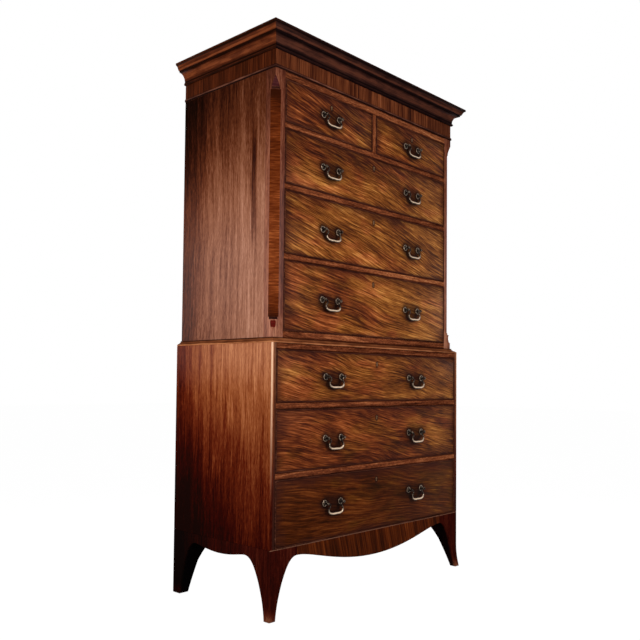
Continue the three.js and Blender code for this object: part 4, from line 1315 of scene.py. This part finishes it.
def rose_outline():
    """Half the section of a rose with its post and ball head, and of the nut behind the board."""
    board = -FRONT_THICKNESS
    outline = Outline([
        (0, board - SCREW_END), (SCREW_RADIUS, board - SCREW_END), (SCREW_RADIUS, board - NUT_HEIGHT)])
    outline.line(NUT_RADIUS - NUT_CHAMFER, board - NUT_HEIGHT + NUT_SLOPE)
    outline.line(NUT_RADIUS, board - NUT_GAP).line(STEM_RADIUS, board + STEM_START)
    outline.line(STEM_RADIUS, -ROSE_SUNK).line(ROSE_RADIUS, -ROSE_SUNK).line(ROSE_RADIUS, ROSE_EDGE)
    outline.curve(
        ROSE_RADIUS, 1.7 * MM, ROSE_RADIUS - 1.2 * MM, 1.9 * MM, ROSE_RADIUS - ROSE_LIP, ROSE_HOLLOW, 6)
    outline.curve(
        ROSE_RADIUS - 2.6 * MM, 1.0 * MM, ROSE_RADIUS * 0.6, 2.2 * MM, ROSE_RADIUS * 0.48, ROSE_DOME, 8)
    outline.curve(
        POST_RADIUS + 1.2 * MM, 3.4 * MM, POST_RADIUS, 4.4 * MM, POST_RADIUS, POST_COVE, 6)
    outline.line(POST_RADIUS, PIVOT_PROUD - HEAD_RADIUS * 0.98)
    outline.arc(0, PIVOT_PROUD, HEAD_RADIUS, -math.radians(52), math.radians(76), 18)
    outline.curve(
        1.6 * MM, PIVOT_PROUD + HEAD_RADIUS, 1.4 * MM, PIVOT_PROUD + HEAD_TOP, 0, PIVOT_PROUD + HEAD_TOP, 6)
    return outline


# The right half of a bail's line, from its pivot to its middle, in shares of half the centres and of the drop
BAIL_LINE_SHARES = (
    (0.86, 0), (0.75, 0.05), (0.69, 0.18), (0.74, 0.36), (0.86, 0.5), (0.89, 0.66), (0.8, 0.86), (0.56, 0.98),
    (0.25, 1.01), (0, 1))


def make_bail():
    """A swan-neck bail about its pivots, thickest at the bottom, worn bright there and given a painted
    highlight on its faces that look up and forward.
    """
    half = HANDLE_CENTRES / 2
    end = half - HEAD_RADIUS + BAIL_SOCKET_DEPTH
    line = [(end, 0)] + [(s * half, -t * BAIL_DROP) for s, t in BAIL_LINE_SHARES]
    line += [(-x, z) for x, z in reversed(line[:-1])]
    bpy.ops.curve.primitive_bezier_curve_add(location=(0, 0, 0))
    bail = bpy.context.object
    bail.name = "bail"
    curve = bail.data
    curve.splines.clear()
    spline = curve.splines.new("BEZIER")
    spline.bezier_points.add(len(line) - 1)
    for point, (x, z) in zip(spline.bezier_points, line):
        low = min(1, max(0, -z / BAIL_DROP))
        neck = BAIL_NECK_RADIUS + (BAIL_MIDDLE_RADIUS - BAIL_NECK_RADIUS) * low ** 2
        point.co = (x, 0, z)
        point.handle_left_type = point.handle_right_type = "AUTO"
        point.radius = (BAIL_END_RADIUS if z > -BAIL_END_SHARE * BAIL_DROP else neck) / MM
    curve.bevel_depth = MM
    curve.bevel_resolution = 6
    curve.resolution_u = 8
    curve.use_fill_caps = True
    only(bail)
    bpy.ops.object.convert(target="MESH")
    bail = tidied(bpy.context.object)

    def rub(vertex):
        # A painted highlight on the faces that look up and forward, strongest low on the bail where a hand
        # also wears it.
        painted_highlight = min(1, max(0, 0.2 - 0.6 * vertex.normal.y + 0.75 * vertex.normal.z))
        return 0.08 + 0.86 * min(1, max(0, -vertex.co.z / BAIL_DROP)) ** 3 * painted_highlight

    return worn_and_highlit(bail, rub)


def make_rose():
    """A rose, worn bright at its rim and a little on its head, with a painted highlight there too."""
    def rub(vertex):
        radius, out = math.hypot(vertex.co.x, vertex.co.z), -vertex.co.y
        if radius > 0.85 * ROSE_RADIUS and out > 0:
            return 0.40
        return 0.16 if out > PIVOT_PROUD else 0.06

    return worn_and_highlit(turned("rose", rose_outline()), rub)


def make_handles():
    """Each bail swings on a hinge of the frame, and its two roses ride on the drawer."""
    rose = make_rose()
    bail = make_bail()
    for joint in frame["joints"]:
        if joint["type"] != "hinge":
            continue
        x, y, z = joint["pos_m"]
        node = frame["record"]["behaviour"]["bodies"][joint["child"]][0]
        roses = [copied(rose, node + "_posts", (x + sign * HANDLE_CENTRES / 2, y + PIVOT_PROUD, z))
                 for sign in (-1, 1)]
        finished(joined(roses), joint["parent"], handle_brass, [joint["parent"] + "_front"], 40)
        swung = copied(bail, node + "_worked", (x, y, z))
        finished(swung, joint["child"], handle_brass, [node], 60)
    bpy.data.objects.remove(rose)
    bpy.data.objects.remove(bail)


# The drawers together

# How each front is figured: the fall of its grain to the right in degrees, its sway, the seed of its marks,
# its tones, how dark it is, the contrast of its marks and how far its hue leans to gold
Figure = namedtuple("Figure", "fall sway seed tones dark contrast gold")
FIGURES = {
    "short_drawer_left": Figure(12, 1.0, 11, FRONT_TONES, 0.08, 0.92, -0.06),
    "short_drawer_right": Figure(11, 1.0, 14, FRONT_TONES, 0.05, 0.9, 0.0),
    "upper_drawer_top": Figure(11, 1.0, 17, FRONT_TONES, 0.0, 0.92, 0.06),
    "upper_drawer_middle": Figure(13, 1.0, 20, FRONT_TONES, -0.02, 0.9, 0.12),
    "upper_drawer_bottom": Figure(11, 1.1, 23, FRONT_TONES, -0.02, 0.85, 0.04),
    "lower_drawer_top": Figure(12, 1.5, 26, FRONT_TONES, -0.02, 0.86, 0.04),
    "lower_drawer_middle": Figure(10, 1.6, 29, FRONT_TONES, 0.07, 0.8, -0.06),
    "lower_drawer_bottom": Figure(5, 1.3, 32, RED_FRONT_TONES, 0.0, 0.72, -0.1),
}


def make_drawers():
    for name, figure in FIGURES.items():
        low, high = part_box(name + "_front")
        handle = next(joint for joint in frame["joints"] if joint["parent"] == name)
        wood = figured_front(name + "_veneer", low, high, handle["pos_m"][2], figure)
        make_front(name, LOWER_FACE if name.startswith("lower") else UPPER_FACE, wood)
        make_tray(name)


# The stage

def seen_white(tree, plain, white, share, output):
    """Mixes a plain shader with the white one that the camera and the reflections see, by a share."""
    tree.nodes.clear()
    rays = Wire(tree.nodes.new("ShaderNodeLightPath").outputs["Is Camera Ray"])
    seen = rays
    for kind in ("Is Glossy Ray", "Is Transmission Ray"):
        seen = seen.maths("MAXIMUM", Wire(rays.socket.node.outputs[kind]))
    mixed = rays.node(
        "ShaderNodeMixShader", {}, {0: seen * share, 1: rays.node(*plain), 2: rays.node(*white)})
    tree.links.new(mixed.socket, tree.nodes.new(output).inputs["Surface"])


def make_stage():
    bpy.ops.mesh.primitive_plane_add(size=FLOOR_SIZE, location=(0, 0, 0))
    floor = bpy.context.object
    floor.name = "floor"
    material = bpy.data.materials.new("pale_floor")
    material.use_nodes = True
    seen_white(
        material.node_tree, ("ShaderNodeBsdfDiffuse", {}, {"Color": FLOOR_GREY}),
        ("ShaderNodeEmission", {}, {"Color": WHITE, "Strength": FLOOR_WHITE}), FLOOR_SHARE,
        "ShaderNodeOutputMaterial")
    floor.data.materials.append(material)

    world = bpy.data.worlds.new("studio")
    world.use_nodes = True
    seen_white(
        world.node_tree, ("ShaderNodeBackground", {}, {"Color": WHITE, "Strength": ROOM_LIGHT}),
        ("ShaderNodeBackground", {}, {"Color": WHITE, "Strength": 1.0}), 1.0, "ShaderNodeOutputWorld")
    bpy.context.scene.world = world


add_camera()
make_stage()
for name, lamp in LAMPS.items():
    add_lamp(name, *lamp)
make_feet()
make_aprons()
make_mouldings()
make_cases()
make_posts()
make_drawers()
make_handles()

bpy.context.scene.view_settings.view_transform = "Standard"
